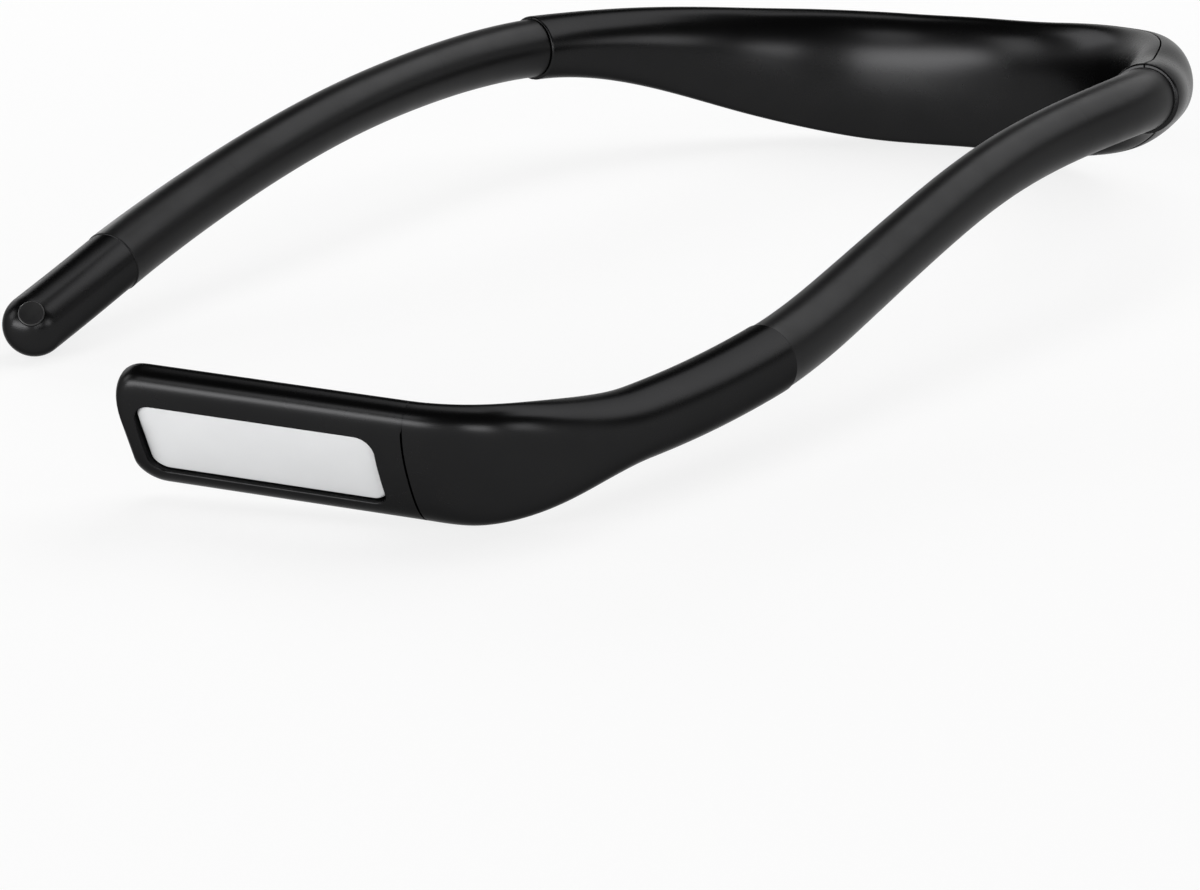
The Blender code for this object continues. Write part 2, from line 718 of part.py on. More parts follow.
def make_housing_leads(bodies, body):
    """The two leads, from the battery and the board to the ends of the arm cores."""
    reach = HOUSING_HALF_LENGTH - REAR_FERRULE_INSIDE + CORE_SETBACK - GAP
    starts = {
        "left": BATTERY_OFFSET + 0.5 * BATTERY_LENGTH + 2.0 * GAP,
        "right": BOARD_OFFSET + 0.5 * BOARD_LENGTH + 2.0 * GAP,
    }
    for side, name in (("left", "switch_lead"), ("right", "lamp_lead")):
        sign = ARMS[side].sign
        rings = []
        for offset in spaced(starts[side], reach, LEAD_STATION_LENGTH):
            frame = ROUTE.frame(SEAMS["middle"] + sign * offset)
            rings.append(circle(frame, LEAD_RADIUS, LEAD_SIDES))
        bodies.piece(name, body, "lead_red", *loft(rings, "caps"))


# Arms


def arm_rings(arm, start, end, radius, sides, longest):
    """Rings along an arm. The radius is a number or a function of the distance."""
    rings = []
    for along in spaced(start, end, longest):
        value = radius(along) if callable(radius) else radius
        rings.append(circle(arm.frame(along), value, sides))
    return rings


def sleeve(arm, start, end, bore=BORE_RADIUS):
    """A plain stretch of sleeve with a straight bore."""
    outer = arm_rings(arm, start, end, arm.sleeve_radius, SLEEVE_SIDES, STATION_LENGTH)
    inner = arm_rings(arm, start, end, bore, SLEEVE_SIDES, 1.5 * STATION_LENGTH)
    return tube(outer, inner)


def end_sleeve(arm, seam, ferrule_end, far):
    """A stretch of sleeve with a wider bore over the ferrule at its seam."""
    outer = arm_rings(arm, seam, far, arm.sleeve_radius, SLEEVE_SIDES, STATION_LENGTH)
    wide = arm_rings(arm, seam, ferrule_end, SOCKET_RADIUS, SLEEVE_SIDES, STATION_LENGTH)
    narrow = arm_rings(arm, ferrule_end, far, BORE_RADIUS, SLEEVE_SIDES, STATION_LENGTH)
    return tube(outer, wide + narrow)


def dome(arm, centre, direction):
    """Rings of the half ball at the end of a core, from its rim to its tip."""
    rings = []
    for i in range(1, DOME_STEPS + 1):
        angle = 0.5 * math.pi * i / (DOME_STEPS + 0.5)
        point, forward, up, out = arm.frame(centre)
        place = point + forward * (direction * CORE_RADIUS * math.sin(angle))
        rings.append(circle((place, forward, up, out), CORE_RADIUS * math.cos(angle), CORE_SIDES))
    return rings


def core(arm, start, end, round_start, round_end):
    """A stretch of the bendable core. A rounded end is half a ball about its given place."""
    rings = arm_rings(arm, start, end, CORE_RADIUS, CORE_SIDES, STATION_LENGTH)
    if round_start:
        rings = dome(arm, start, -1.0)[::-1] + rings
    if round_end:
        rings = rings + dome(arm, end, 1.0)
    return loft(rings, "caps")


def ferrule(arm, start, end):
    outer = arm_rings(arm, start, end, FERRULE_RADIUS, SLEEVE_SIDES, STATION_LENGTH)
    inner = arm_rings(arm, start, end, BORE_RADIUS, SLEEVE_SIDES, STATION_LENGTH)
    return tube(outer, inner)


def make_arm(bodies, arm, tip_body):
    """The bends of one arm, and all its pieces from seam to seam."""
    names = ["housing"] + [arm.side + "_link_" + str(i + 1) for i in range(BENDS_PER_ARM - 1)]
    names.append(tip_body)
    for number in range(BENDS_PER_ARM):
        point, forward, up, out = arm.frame(arm.bend(number))
        axis = up if number % 2 == 0 else np.cross(forward, up)
        bodies.add(names[number + 1], names[number], point, axis, forward)

    dome_place = CORE_RADIUS + GAP
    half_gap = 0.5 * GAP
    last = BENDS_PER_ARM - 1
    for number in range(BENDS_PER_ARM + 1):
        start = -REAR_FERRULE_INSIDE + CORE_SETBACK
        end = arm.length + FRONT_FERRULE_INSIDE - CORE_SETBACK
        if number > 0:
            start = arm.bend(number - 1) + dome_place
        if number <= last:
            end = arm.bend(number) - dome_place
        shape = core(arm, start, end, number > 0, number <= last)
        bodies.piece(arm.side + "_core_" + str(number), names[number], "steel", *shape)

    for number in range(BENDS_PER_ARM):
        middle = arm.bend(number)
        start = middle - FLEX_HALF_LENGTH + half_gap
        end = middle + FLEX_HALF_LENGTH - half_gap
        name = arm.side + "_sleeve_flex_" + str(number + 1)
        bodies.piece(name, names[number], "silicone_black", *sleeve(arm, start, end))
    for number in range(1, BENDS_PER_ARM):
        start = arm.bend(number - 1) + FLEX_HALF_LENGTH + half_gap
        end = arm.bend(number) - FLEX_HALF_LENGTH - half_gap
        name = arm.side + "_sleeve_" + str(number)
        bodies.piece(name, names[number], "silicone_black", *sleeve(arm, start, end))

    rear_far = arm.bend(0) - FLEX_HALF_LENGTH - half_gap
    rear = end_sleeve(arm, half_gap, REAR_FERRULE_OUTSIDE + GAP, rear_far)
    bodies.piece(arm.side + "_sleeve_base", "housing", "silicone_black", *rear)
    front_far = arm.bend(last) + FLEX_HALF_LENGTH + half_gap
    ferrule_end = arm.length - FRONT_FERRULE_OUTSIDE - GAP
    front = end_sleeve(arm, arm.length - half_gap, ferrule_end, front_far)
    bodies.piece(arm.side + "_sleeve_tip", tip_body, "silicone_black", *front)

    rear_shape = ferrule(arm, -REAR_FERRULE_INSIDE, REAR_FERRULE_OUTSIDE)
    bodies.piece(arm.side + "_rear_ferrule", "housing", "steel", *rear_shape)
    front_start = arm.length - FRONT_FERRULE_OUTSIDE
    front_shape = ferrule(arm, front_start, arm.length + FRONT_FERRULE_INSIDE)
    bodies.piece(arm.side + "_front_ferrule", tip_body, "steel", *front_shape)


# End cap


def ball_rings(centre, axis, up, radius, sides, steps):
    """Rings of a half ball, from near its rim to near its tip."""
    angles = [0.5 * math.pi * i / (steps + 0.5) for i in range(1, steps + 1)]
    profile = [(radius * math.cos(a), radius * math.sin(a)) for a in angles]
    return turned(centre, axis, up, profile, sides)


def cap_circle(along, radius):
    """A ring of the cap, with its points in step with the rings of its round tip."""
    point, forward, up, out = ARMS["left"].frame(along)
    return circle((point, forward, up, np.cross(forward, up)), radius, SHELL_SIDES)


def make_cap(bodies):
    arm = ARMS["left"]
    body = "left_cap"
    seam = arm.length
    centre_distance = arm.length + SEAMS["left_front"]
    centre, axis, up, _ = arm.frame(centre_distance)
    inner_radius = CAP_RADIUS - CAP_WALL
    socket_end = seam + FRONT_FERRULE_INSIDE + GAP
    outer = [cap_circle(x, CAP_RADIUS) for x in spaced(seam + 0.5 * GAP, centre_distance, STATION_LENGTH)]
    outer += ball_rings(centre, axis, up, CAP_RADIUS, SHELL_SIDES, 2 * DOME_STEPS)
    inner = [cap_circle(x, SOCKET_RADIUS) for x in (seam + 0.5 * GAP, socket_end)]
    hollow = spaced(socket_end + SOCKET_STEP, centre_distance, STATION_LENGTH)
    inner += [cap_circle(x, inner_radius) for x in hollow]
    inner += ball_rings(centre, axis, up, inner_radius, SHELL_SIDES, 2 * DOME_STEPS)
    shell = bodies.piece("end_cap", body, "gloss_black", *loft(outer[::-1] + inner, "caps"))

    line = unit(np.array(BUTTON_DIRECTION_SHARES))
    side = unit(np.cross(line, axis))
    hole_profile = (
        (BUTTON_RADIUS + GAP, 0.5 * inner_radius),
        (BUTTON_RADIUS + GAP, CAP_RADIUS + OVERRUN),
    )
    hole = loft(turned(centre, line, side, hole_profile, SHELL_SIDES), "caps")
    bodies.combine(shell, bodies.piece("button_hole", body, "chip_black", *hole))

    flange_radius = BUTTON_RADIUS + BUTTON_FLANGE
    flange_top = math.sqrt(inner_radius ** 2 - flange_radius ** 2) - GAP
    flange_bottom = flange_top - BUTTON_FLANGE_THICKNESS
    top = CAP_RADIUS - BUTTON_SINK
    bodies.add("power_button", body, centre + line * top, line, axis)
    button_profile = (
        (BUTTON_RADIUS - BUTTON_BEVEL, top),
        (BUTTON_RADIUS, top - BUTTON_BEVEL),
        (BUTTON_RADIUS, flange_top),
        (flange_radius, flange_top),
        (flange_radius, flange_bottom),
    )
    button = loft(turned(centre, line, side, button_profile, SHELL_SIDES), "caps")
    bodies.piece("power_button", "power_button", "button_black", *button)
    plunger_top = flange_bottom - GAP
    plunger_profile = ((PLUNGER_RADIUS, plunger_top), (PLUNGER_RADIUS, plunger_top - PLUNGER_LENGTH))
    plunger = loft(turned(centre, line, side, plunger_profile, CORE_SIDES), "caps")
    bodies.piece("switch_plunger", "power_button", "white_plastic", *plunger)

    frame = (centre, side, np.cross(line, side), line)
    switch_top = plunger_top - SWITCH_SHOULDER
    switch_bottom = switch_top - SWITCH_HEIGHT
    bodies.piece("tact_switch", body, "rigid_black", *switch_body(frame, switch_top, switch_bottom))

    board_top = switch_bottom - GAP
    board_bottom = board_top - SWITCH_BOARD_THICKNESS
    board_profile = ((SWITCH_BOARD_RADIUS, board_top), (SWITCH_BOARD_RADIUS, board_bottom))
    board = loft(turned(centre, line, side, board_profile, CORE_SIDES), "caps")
    bodies.piece("switch_board", body, "board_green", *board)
    make_carrier(bodies, body, (centre, axis, line, side), board_bottom - GAP)


def switch_body(frame, top, bottom):
    """A square switch body with a round hole for its plunger."""
    centre, first, second, line = frame
    half = 0.5 * SWITCH_WIDTH
    square = []
    round_ring = []
    for i in range(4 * CORNER_STEPS):
        angle = 2.0 * math.pi * i / (4 * CORNER_STEPS) + 0.25 * math.pi
        c = math.cos(angle)
        s = math.sin(angle)
        grow = half / max(abs(c), abs(s))
        square.append(first * (c * grow) + second * (s * grow))
        hole = PLUNGER_RADIUS + GAP
        round_ring.append(first * (c * hole) + second * (s * hole))
    rings = [[centre + line * height + v for v in square] for height in (bottom, top)]
    holes = [[centre + line * height + v for v in round_ring] for height in (bottom, top)]
    return tube(rings, holes)


def make_carrier(bodies, body, frame, top):
    """The carrier under the switch board, and the lead behind it."""
    centre, axis, line, side = frame
    radius = CAP_RADIUS - CAP_WALL - CARRIER_CLEARANCE
    rings = turned(centre, line, side, ((CARRIER_TOP_RADIUS, top),), SLEEVE_SIDES)
    nose, tail = (share * SEAMS["left_front"] for share in CARRIER_SHARES)
    base = ((radius, -nose), (radius, -tail))
    rings += turned(centre, axis, side, base, SLEEVE_SIDES)
    bodies.piece("switch_carrier", body, "rigid_black", *loft(rings, "caps"))
    arm = ARMS["left"]
    end = arm.length + SEAMS["left_front"] - tail - GAP
    start = arm.length + FRONT_FERRULE_INSIDE - CORE_SETBACK + GAP
    lead = arm_rings(arm, start, end, LEAD_RADIUS, LEAD_SIDES, LEAD_STATION_LENGTH)
    bodies.piece("cap_lead", body, "lead_red", *loft(lead, "caps"))


# Lamp neck


def head_axes():
    """The head's place and its own directions: along, out of the face, and up the face."""
    point, along, up, out = ROUTE.frame(SEAMS["head"])
    rise = up * math.cos(HEAD_TILT) + out * math.sin(HEAD_TILT)
    face = out * math.cos(HEAD_TILT) - up * math.sin(HEAD_TILT)
    return point, along, face, rise


def neck_ring(distance, inset, bored):
    """One ring of the neck, at a distance from its seam with the sleeve."""
    length = SEAMS["head"] - SEAMS["right_front"]
    point, _, up, out = ROUTE.frame(SEAMS["right_front"] + distance)
    fade = smoothstep(NECK_FLATTEN_SHARE, 1.0, distance / length)
    half_up = NECK_RADIUS + (HEAD_HALF_HEIGHT - NECK_RADIUS) * fade - inset
    half_out = NECK_RADIUS + (HEAD_HALF_THICKNESS - NECK_RADIUS) * fade - inset
    power = ROUND_POWER + (HEAD_BACK_POWER - ROUND_POWER) * fade
    if bored:
        half_up = SOCKET_RADIUS
        half_out = SOCKET_RADIUS
        power = ROUND_POWER
    tilt = HEAD_TILT * fade
    rise = up * math.cos(tilt) + out * math.sin(tilt)
    face = out * math.cos(tilt) - up * math.sin(tilt)
    ring = []
    for i in range(SHELL_SIDES):
        a, b = power_curve(2.0 * math.pi * i / SHELL_SIDES, half_up, half_out, power)
        ring.append(point + rise * a + face * b)
    return ring


def make_neck(bodies):
    body = "lamp"
    start = 0.5 * GAP
    end = SEAMS["head"] - SEAMS["right_front"] - 0.5 * GAP
    socket_end = FRONT_FERRULE_INSIDE + GAP
    straight = spaced(start, NECK_FLATTEN_SHARE * end, 1.5 * STATION_LENGTH)
    turning = spaced(NECK_FLATTEN_SHARE * end, end, 0.5 * STATION_LENGTH)
    outer = [neck_ring(x, 0.0, False) for x in straight + turning[1:]]
    inner = [neck_ring(x, 0.0, True) for x in (start, socket_end)]
    hollow = spaced(socket_end + SOCKET_STEP, NECK_FLATTEN_SHARE * end, 1.5 * STATION_LENGTH)
    inner += [neck_ring(x, NECK_WALL, False) for x in hollow + turning[1:]]
    bodies.piece("neck_shell", body, "gloss_black", *tube(outer, inner))

    point, along, face, rise = head_axes()
    outer = []
    inner = []
    for x in (-TONGUE_INSIDE_NECK, TONGUE_INSIDE_HEAD):
        centre = point + along * x - face * TONGUE_DROP
        edge = []
        hole = []
        for i in range(4 * CORNER_STEPS):
            angle = 2.0 * math.pi * i / (4 * CORNER_STEPS)
            a, b = power_curve(angle, TONGUE_HALF_HEIGHT, TONGUE_HALF_THICKNESS, HEAD_FRONT_POWER)
            edge.append(centre + rise * a + face * b)
            radius = LAMP_LEAD_RADIUS + GAP
            hole.append(centre + radius * (rise * math.cos(angle) + face * math.sin(angle)))
        outer.append(edge)
        inner.append(hole)
    bodies.piece("head_tongue", body, "rigid_black", *tube(outer, inner))

    length = SEAMS["head"] - SEAMS["right_front"]
    lead_start = FRONT_FERRULE_INSIDE - CORE_SETBACK + GAP
    rings = []
    for x in spaced(lead_start, length + TONGUE_INSIDE_HEAD, LEAD_STATION_LENGTH):
        frame = ROUTE.frame(SEAMS["right_front"] + x)
        fade = smoothstep(NECK_FLATTEN_SHARE, 1.0, x / length)
        tilt = HEAD_TILT * fade
        shift = frame[3] * math.cos(tilt) - frame[2] * math.sin(tilt)
        moved = (frame[0] - shift * (TONGUE_DROP * fade), frame[1], frame[2], frame[3])
        rings.append(circle(moved, LAMP_LEAD_RADIUS, LEAD_SIDES))
    bodies.piece("head_lead", body, "lead_red", *loft(rings, "caps"))


# Lamp head


def plan_loop(near, far, low, high, near_corner, far_corner):
    """A rounded rectangle seen from the front of the head, as places along and up."""
    corners = (
        (near + near_corner, low + near_corner, near_corner, 180.0 * DEG),
        (far - far_corner, low + far_corner, far_corner, 270.0 * DEG),
        (far - far_corner, high - far_corner, far_corner, 0.0),
        (near + near_corner, high - near_corner, near_corner, 90.0 * DEG),
    )
    arcs = []
    for x, z, radius, start in corners:
        angles = [start + 0.5 * math.pi * i / CORNER_STEPS for i in range(CORNER_STEPS + 1)]
        arcs.append([(x + radius * math.cos(a), z + radius * math.sin(a)) for a in angles])
    loop = []
    for i, arc in enumerate(arcs):
        loop.extend(arc)
        ahead = arcs[(i + 1) % 4][0]
        for j in range(1, SIDE_STEPS):
            t = j / SIDE_STEPS
            loop.append((arc[-1][0] * (1 - t) + ahead[0] * t, arc[-1][1] * (1 - t) + ahead[1] * t))
    return loop


def head_loop(height, inset, power):
    """The head's outline at a height out of its middle plane, drawn in by an inset."""
    half_thickness = HEAD_HALF_THICKNESS - inset
    level = min(abs(height) / half_thickness, 1.0)
    share = (1.0 - level ** power) ** (1.0 / power)
    half = (HEAD_HALF_HEIGHT - inset) * share
    setback = HEAD_END_ROUNDING * (1.0 - math.sqrt(1.0 - level ** 2))
    near = 0.5 * GAP + inset
    far = HEAD_LENGTH - inset - setback
    corner = max(HEAD_CORNER - inset, HEAD_SEAM_CORNER) * share
    return height, plan_loop(near, far, -half, half, HEAD_SEAM_CORNER * share, corner)


def window_loop(height, grow):
    """The outline of the light window, or of what follows it, grown by an amount."""
    far = HEAD_LENGTH - WINDOW_TIP_MARGIN + grow
    near = far - WINDOW_LENGTH - 2.0 * grow
    half = 0.5 * WINDOW_HEIGHT + grow
    corner = max(WINDOW_CORNER + grow, HEAD_SEAM_CORNER)
    return height, plan_loop(near, far, WINDOW_LIFT - half, WINDOW_LIFT + half, corner, corner)


def place_loops(loops):
    """Turn loops of the head's own plan into rings of points."""
    point, along, face, rise = head_axes()
    return [
        [point + along * x + rise * z + face * height for x, z in loop]
        for height, loop in loops
    ]


def head_block(near, far, low, high, bottom, top):
    """A box in the head's own directions."""
    point, along, face, rise = head_axes()
    middle = (0.5 * (near + far), 0.5 * (low + high), 0.5 * (bottom + top))
    size = (far - near, high - low, top - bottom)
    return block((point, along, rise, face), *middle, size)


def make_head(bodies):
    body = "lamp"
    back = HEAD_HALF_THICKNESS
    parting_low = PARTING_HEIGHT - 0.5 * GAP
    parting_high = PARTING_HEIGHT + 0.5 * GAP
    floor = -(HEAD_HALF_THICKNESS - HEAD_WALL) + HEAD_FLOOR_SINK
    flat_back = -HEAD_HALF_THICKNESS + HEAD_FLAT_SINK
    outer = [head_loop(flat_back, 0.0, HEAD_BACK_POWER)]
    outer += [head_loop(share * back, 0.0, HEAD_BACK_POWER) for share in BACK_LEVEL_SHARES[::-1]]
    outer.append(head_loop(parting_low, 0.0, HEAD_BACK_POWER))
    inner = [head_loop(parting_low, HEAD_WALL, HEAD_BACK_POWER)]
    cavity = HEAD_HALF_THICKNESS - HEAD_WALL
    inner += [head_loop(share * cavity, HEAD_WALL, HEAD_BACK_POWER) for share in CAVITY_LEVEL_SHARES]
    inner.append(head_loop(floor, HEAD_WALL, HEAD_BACK_POWER))
    shell = bodies.piece("head_rear_shell", body, "gloss_black", *loft(place_loops(outer + inner), "caps"))
    notch_bottom = -TONGUE_DROP - TONGUE_HALF_THICKNESS - GAP
    notch_half = TONGUE_HALF_HEIGHT + GAP
    notch = head_block(-OVERRUN, HEAD_WALL + OVERRUN, -notch_half, notch_half, notch_bottom, back)
    bodies.combine(shell, bodies.piece("tongue_notch", body, "chip_black", *notch))

    lip = HEAD_HALF_THICKNESS - HEAD_FLAT_SINK
    diffuser_front = lip - DIFFUSER_SINK
    diffuser_back = diffuser_front - DIFFUSER_THICKNESS
    loops = [head_loop(parting_high, 0.0, HEAD_FRONT_POWER)]
    loops += [head_loop(share * back, 0.0, HEAD_FRONT_POWER) for share in FRONT_LEVEL_SHARES]
    loops.append(window_loop(lip, WINDOW_LAND))
    loops.append(window_loop(lip, 0.0))
    loops.append(window_loop(diffuser_back, 0.0))
    loops.append(head_loop(diffuser_back, HEAD_WALL, HEAD_FRONT_POWER))
    loops.append(head_loop(parting_high, HEAD_WALL, HEAD_FRONT_POWER))
    bodies.piece("head_front_frame", body, "gloss_black", *loft(place_loops(loops), "loop"))

    plate = (window_loop(diffuser_back, -GAP), window_loop(diffuser_front, -GAP))
    bodies.piece("diffuser", body, "diffuser_white", *loft(place_loops(plate), "caps"))

    board_bottom = floor + GAP
    board_top = board_bottom + LIGHT_BOARD_THICKNESS
    chip_bottom = board_top + GAP
    walls = (
        window_loop(chip_bottom, -GAP),
        window_loop(diffuser_back - GAP, -GAP),
        window_loop(diffuser_back - GAP, -GAP - REFLECTOR_WALL),
        window_loop(chip_bottom, -GAP - REFLECTOR_WALL),
    )
    bodies.piece("reflector_frame", body, "white_plastic", *loft(place_loops(walls), "loop"))

    near = TONGUE_INSIDE_HEAD + GAP
    far = HEAD_LENGTH - HEAD_WALL - WINDOW_TIP_MARGIN
    half = LIGHT_BOARD_HALF_HEIGHT
    board = head_block(near, far, -half, half, board_bottom, board_top)
    board_item = bodies.piece("led_board", body, "white_plastic", *board)
    window_middle = HEAD_LENGTH - WINDOW_TIP_MARGIN - 0.5 * WINDOW_LENGTH
    sunk = board_top - 0.5 * LIGHT_BOARD_THICKNESS
    chips = light_chips(window_middle, sunk, board_top + LIGHT_CHIP_HEIGHT)
    guide = bodies.piece("light_chips", body, "led_yellow", *join_shells(chips))
    bodies.combine(board_item, guide, "UNION")


def light_chips(middle, bottom, top):
    """Two rows of light chips, which stand up from the light board."""
    room = WINDOW_LENGTH - 2.0 * (GAP + REFLECTOR_WALL) - LIGHT_CHIP_LENGTH
    count = 1 + int(room / LIGHT_CHIP_PITCH)
    chips = []
    for row in (-0.5, 0.5):
        for number in range(count):
            x = middle + (number - 0.5 * (count - 1)) * LIGHT_CHIP_PITCH
            z = row * LIGHT_CHIP_ROW_PITCH
            half_length = 0.5 * LIGHT_CHIP_LENGTH
            half_width = 0.5 * LIGHT_CHIP_WIDTH
            near, far = x - half_length, x + half_length
            chips.append(head_block(near, far, z - half_width, z + half_width, bottom, top))
    return chips


# Resting pose


def lowest_points(groups):
    """Points of each group of pieces, before the light is tilted to rest."""
    found = []
    for names in groups:
        points = []
        for name in names:
            item = bpy.data.objects[name]
            points.extend(item.matrix_world @ v.co for v in item.data.vertices)
        found.append(np.array(points))
    return found


def rest_on_floor(root):
    """Tilt and place the light so that it stands on the housing, the cap and the lamp."""
    bpy.context.view_layer.update()
    groups = (
        ("housing_outer_shell", "housing_inner_shell"),
        ("end_cap",),
        ("neck_shell", "head_rear_shell", "head_front_frame"),
    )
    clouds = lowest_points(groups)
    normal = np.array([0.0, 0.0, 1.0])
    for _ in range(20):
        feet = [cloud[np.argmin(cloud @ normal)] for cloud in clouds]
        normal = unit(np.cross(feet[1] - feet[0], feet[2] - feet[0]))
        normal = normal * math.copysign(1.0, normal[2])
    turn = np.cross(normal, np.array([0.0, 0.0, 1.0]))
    angle = math.atan2(np.linalg.norm(turn), normal[2])
    root.matrix_local = Matrix.Rotation(angle, 4, unit(turn).tolist())
    bpy.context.view_layer.update()
    corners = []
    for item in bpy.data.objects:
        if item.type == "MESH" and not item.hide_render:
            corners.extend(item.matrix_world @ v.co for v in item.data.vertices)
    corners = np.array(corners)
    low = corners.min(axis=0)
    high = corners.max(axis=0)
    shift = (-0.5 * (low[0] + high[0]), -0.5 * (low[1] + high[1]), -low[2])
    root.matrix_local = Matrix.Translation(shift) @ root.matrix_local
    bpy.context.view_layer.update()


def main():
    clear_scene()
    bodies = Bodies()
    up = np.array([0.0, 0.0, 1.0])
    forward = np.array([0.0, -1.0, 0.0])
    bodies.add("housing", None, np.zeros(3), up, forward)
    make_housing(bodies)
    make_arm(bodies, ARMS["left"], "left_cap")
    make_arm(bodies, ARMS["right"], "lamp")
    make_cap(bodies)
    make_neck(bodies)
    make_head(bodies)
    root = bpy.data.objects.new("neck_reading_light", None)
    bpy.context.scene.collection.objects.link(root)
    bodies.empties["housing"].parent = root
    rest_on_floor(root)


main()
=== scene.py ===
"""Looks of the neck reading light: the smooth skins, their finishes, the studio and the camera.

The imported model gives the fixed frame. The skins follow the same route as the model's solids,
with the same sections, in many small steps, and with the edge rounds and seams that moulded
parts and cut silicone sleeves have. They are worked out in the route's own axes, with the
origin by the housing's middle, and then carried to the frame by matching the arms' hinges.
"""

import json
import math

import bmesh
import bpy
import numpy as np
from mathutils import Matrix, Vector

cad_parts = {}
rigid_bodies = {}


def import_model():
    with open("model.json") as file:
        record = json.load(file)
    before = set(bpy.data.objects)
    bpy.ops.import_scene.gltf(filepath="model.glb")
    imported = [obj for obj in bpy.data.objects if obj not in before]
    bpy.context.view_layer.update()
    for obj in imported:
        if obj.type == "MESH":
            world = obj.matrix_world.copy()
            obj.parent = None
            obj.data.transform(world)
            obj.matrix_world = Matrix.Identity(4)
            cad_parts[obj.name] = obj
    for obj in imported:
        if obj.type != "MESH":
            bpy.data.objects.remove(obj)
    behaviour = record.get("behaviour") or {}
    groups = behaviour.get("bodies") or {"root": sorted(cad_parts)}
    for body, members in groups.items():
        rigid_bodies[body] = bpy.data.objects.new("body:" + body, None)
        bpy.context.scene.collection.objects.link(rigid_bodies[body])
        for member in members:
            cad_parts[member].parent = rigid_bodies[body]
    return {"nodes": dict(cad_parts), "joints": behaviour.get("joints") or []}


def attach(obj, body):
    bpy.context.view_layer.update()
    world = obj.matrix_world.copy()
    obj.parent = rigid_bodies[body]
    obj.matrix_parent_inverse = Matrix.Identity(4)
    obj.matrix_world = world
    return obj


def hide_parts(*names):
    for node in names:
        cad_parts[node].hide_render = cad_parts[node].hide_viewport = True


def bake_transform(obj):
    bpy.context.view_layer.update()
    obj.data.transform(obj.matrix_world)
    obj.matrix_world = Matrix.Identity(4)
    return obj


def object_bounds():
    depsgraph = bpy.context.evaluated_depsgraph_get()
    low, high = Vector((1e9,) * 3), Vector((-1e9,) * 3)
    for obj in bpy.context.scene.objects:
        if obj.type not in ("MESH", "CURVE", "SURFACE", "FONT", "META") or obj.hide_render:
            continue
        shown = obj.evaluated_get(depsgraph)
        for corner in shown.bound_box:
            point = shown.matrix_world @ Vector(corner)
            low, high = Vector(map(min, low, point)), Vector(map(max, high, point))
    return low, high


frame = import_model()

MM = 0.001
DEG = math.pi / 180.0
QUARTER_TURN = 0.5 * math.pi

# The route: shares of its half span, reach and drop, as in the model's source
HALF_SPAN = 84.0 * MM
REACH = 315.0 * MM
DROP = 32.0 * MM
HEAD_TURN = 14.4 * DEG
HEAD_RISE = 4.3 * DEG
CAP_SHARES = ((-0.971, 0.795, -0.888), (-0.971, 0.747, -0.716))
LEFT_FRONT_SEAM_SHARES = ((-0.9743, 0.715, -0.6034),)
LEFT_ARM_SHARES = (
    (-0.986, 0.630, -0.344),
    (-0.990, 0.542, -0.109),
    (-0.995, 0.454, 0.072),
    (-1.007, 0.366, 0.184),
    (-1.004, 0.278, 0.256),
)
LEFT_REAR_SEAM_SHARES = ((-0.9739, 0.2207, 0.2793),)
HOUSING_SIDE_SHARES = (
    (0.963, 0.210, 0.280),
    (0.8946, 0.165, 0.2632),
    (0.811, 0.124, 0.213),
    (0.7156, 0.089, 0.143),
    (0.6015, 0.058, 0.0661),
    (0.4714, 0.033, 0.0054),
    (0.323, 0.0146, -0.0398),
    (0.164, 0.0037, -0.0596),
)
HOUSING_MIDDLE_SHARES = ((0.0, 0.0, -0.061),)
RIGHT_REAR_SEAM_SHARES = ((1.0137, 0.2439, 0.301),)
RIGHT_ARM_SHARES = (
    (1.0304, 0.2594, 0.3068),
    (1.0112, 0.362, 0.2094),
    (0.976, 0.449, 0.041),
    (0.962, 0.537, -0.206),
    (0.956, 0.625, -0.482),
)
RIGHT_FRONT_SEAM_SHARES = ((0.9498, 0.7186, -0.7241),)
NECK_SHARES = (
    (0.943, 0.739, -0.763),
    (0.912, 0.8095, -0.870),
    (0.864, 0.880, -0.948),
    (0.826, 0.9146, -0.985),
    (0.748, 0.943, -1.000),
)
HEAD_SEAM_SHARES = ((0.6362, 0.9558, -0.985),)
ROUTE_SAMPLES = 4000

# Clearances
GAP = 0.3 * MM
OVERRUN = 1.0 * MM
SKIN_GAP = 0.02 * MM
SEAM_GAP = 0.01 * MM

# Rear housing
HOUSING_HALF_HEIGHT = 15.8 * MM
HOUSING_HALF_THICKNESS = 6.1 * MM
HOUSING_END_RADIUS = 7.6 * MM
HOUSING_WALL = 1.5 * MM
BAND_POWER = 2.3
ROUND_POWER = 2.0
SHOULDER_SHARES = (0.187, 0.983)
PARTING_ROUND = 0.2 * MM
SEAM_ROUND = 0.03 * MM
SEAM_HOLD = 0.04 * MM
HOUSING_EDGE_ROUND = 0.45 * MM
RIGHT_SKIN_REACH = 7.0 * MM
REAR_FERRULE_INSIDE = 12.0 * MM
SOCKET_STEP = 0.8 * MM

# Charging socket and charge light
BOARD_OFFSET = 26.0 * MM
USB_WIDTH = 8.9 * MM
USB_HEIGHT = 3.2 * MM
SLOT_CHAMFER = 0.3 * MM
LIGHT_PIN_RADIUS = 0.7 * MM
LIGHT_PIN_OFFSET = 9.5 * MM

# Arms
BENDS_PER_ARM = 4
SLEEVE_WAIST_RADIUS = 6.0 * MM
SLEEVE_REAR_FLARE = 0.9 * MM
SLEEVE_FRONT_FLARE = 0.75 * MM
SLEEVE_LIP = 0.04 * MM
SLEEVE_LIP_LENGTH = 1.2 * MM
SLEEVE_ROUND = 0.26 * MM
SOCKET_RADIUS = 4.3 * MM
FRONT_FERRULE_INSIDE = 10.0 * MM
BLEND_HALF_LENGTH = 15.0 * MM

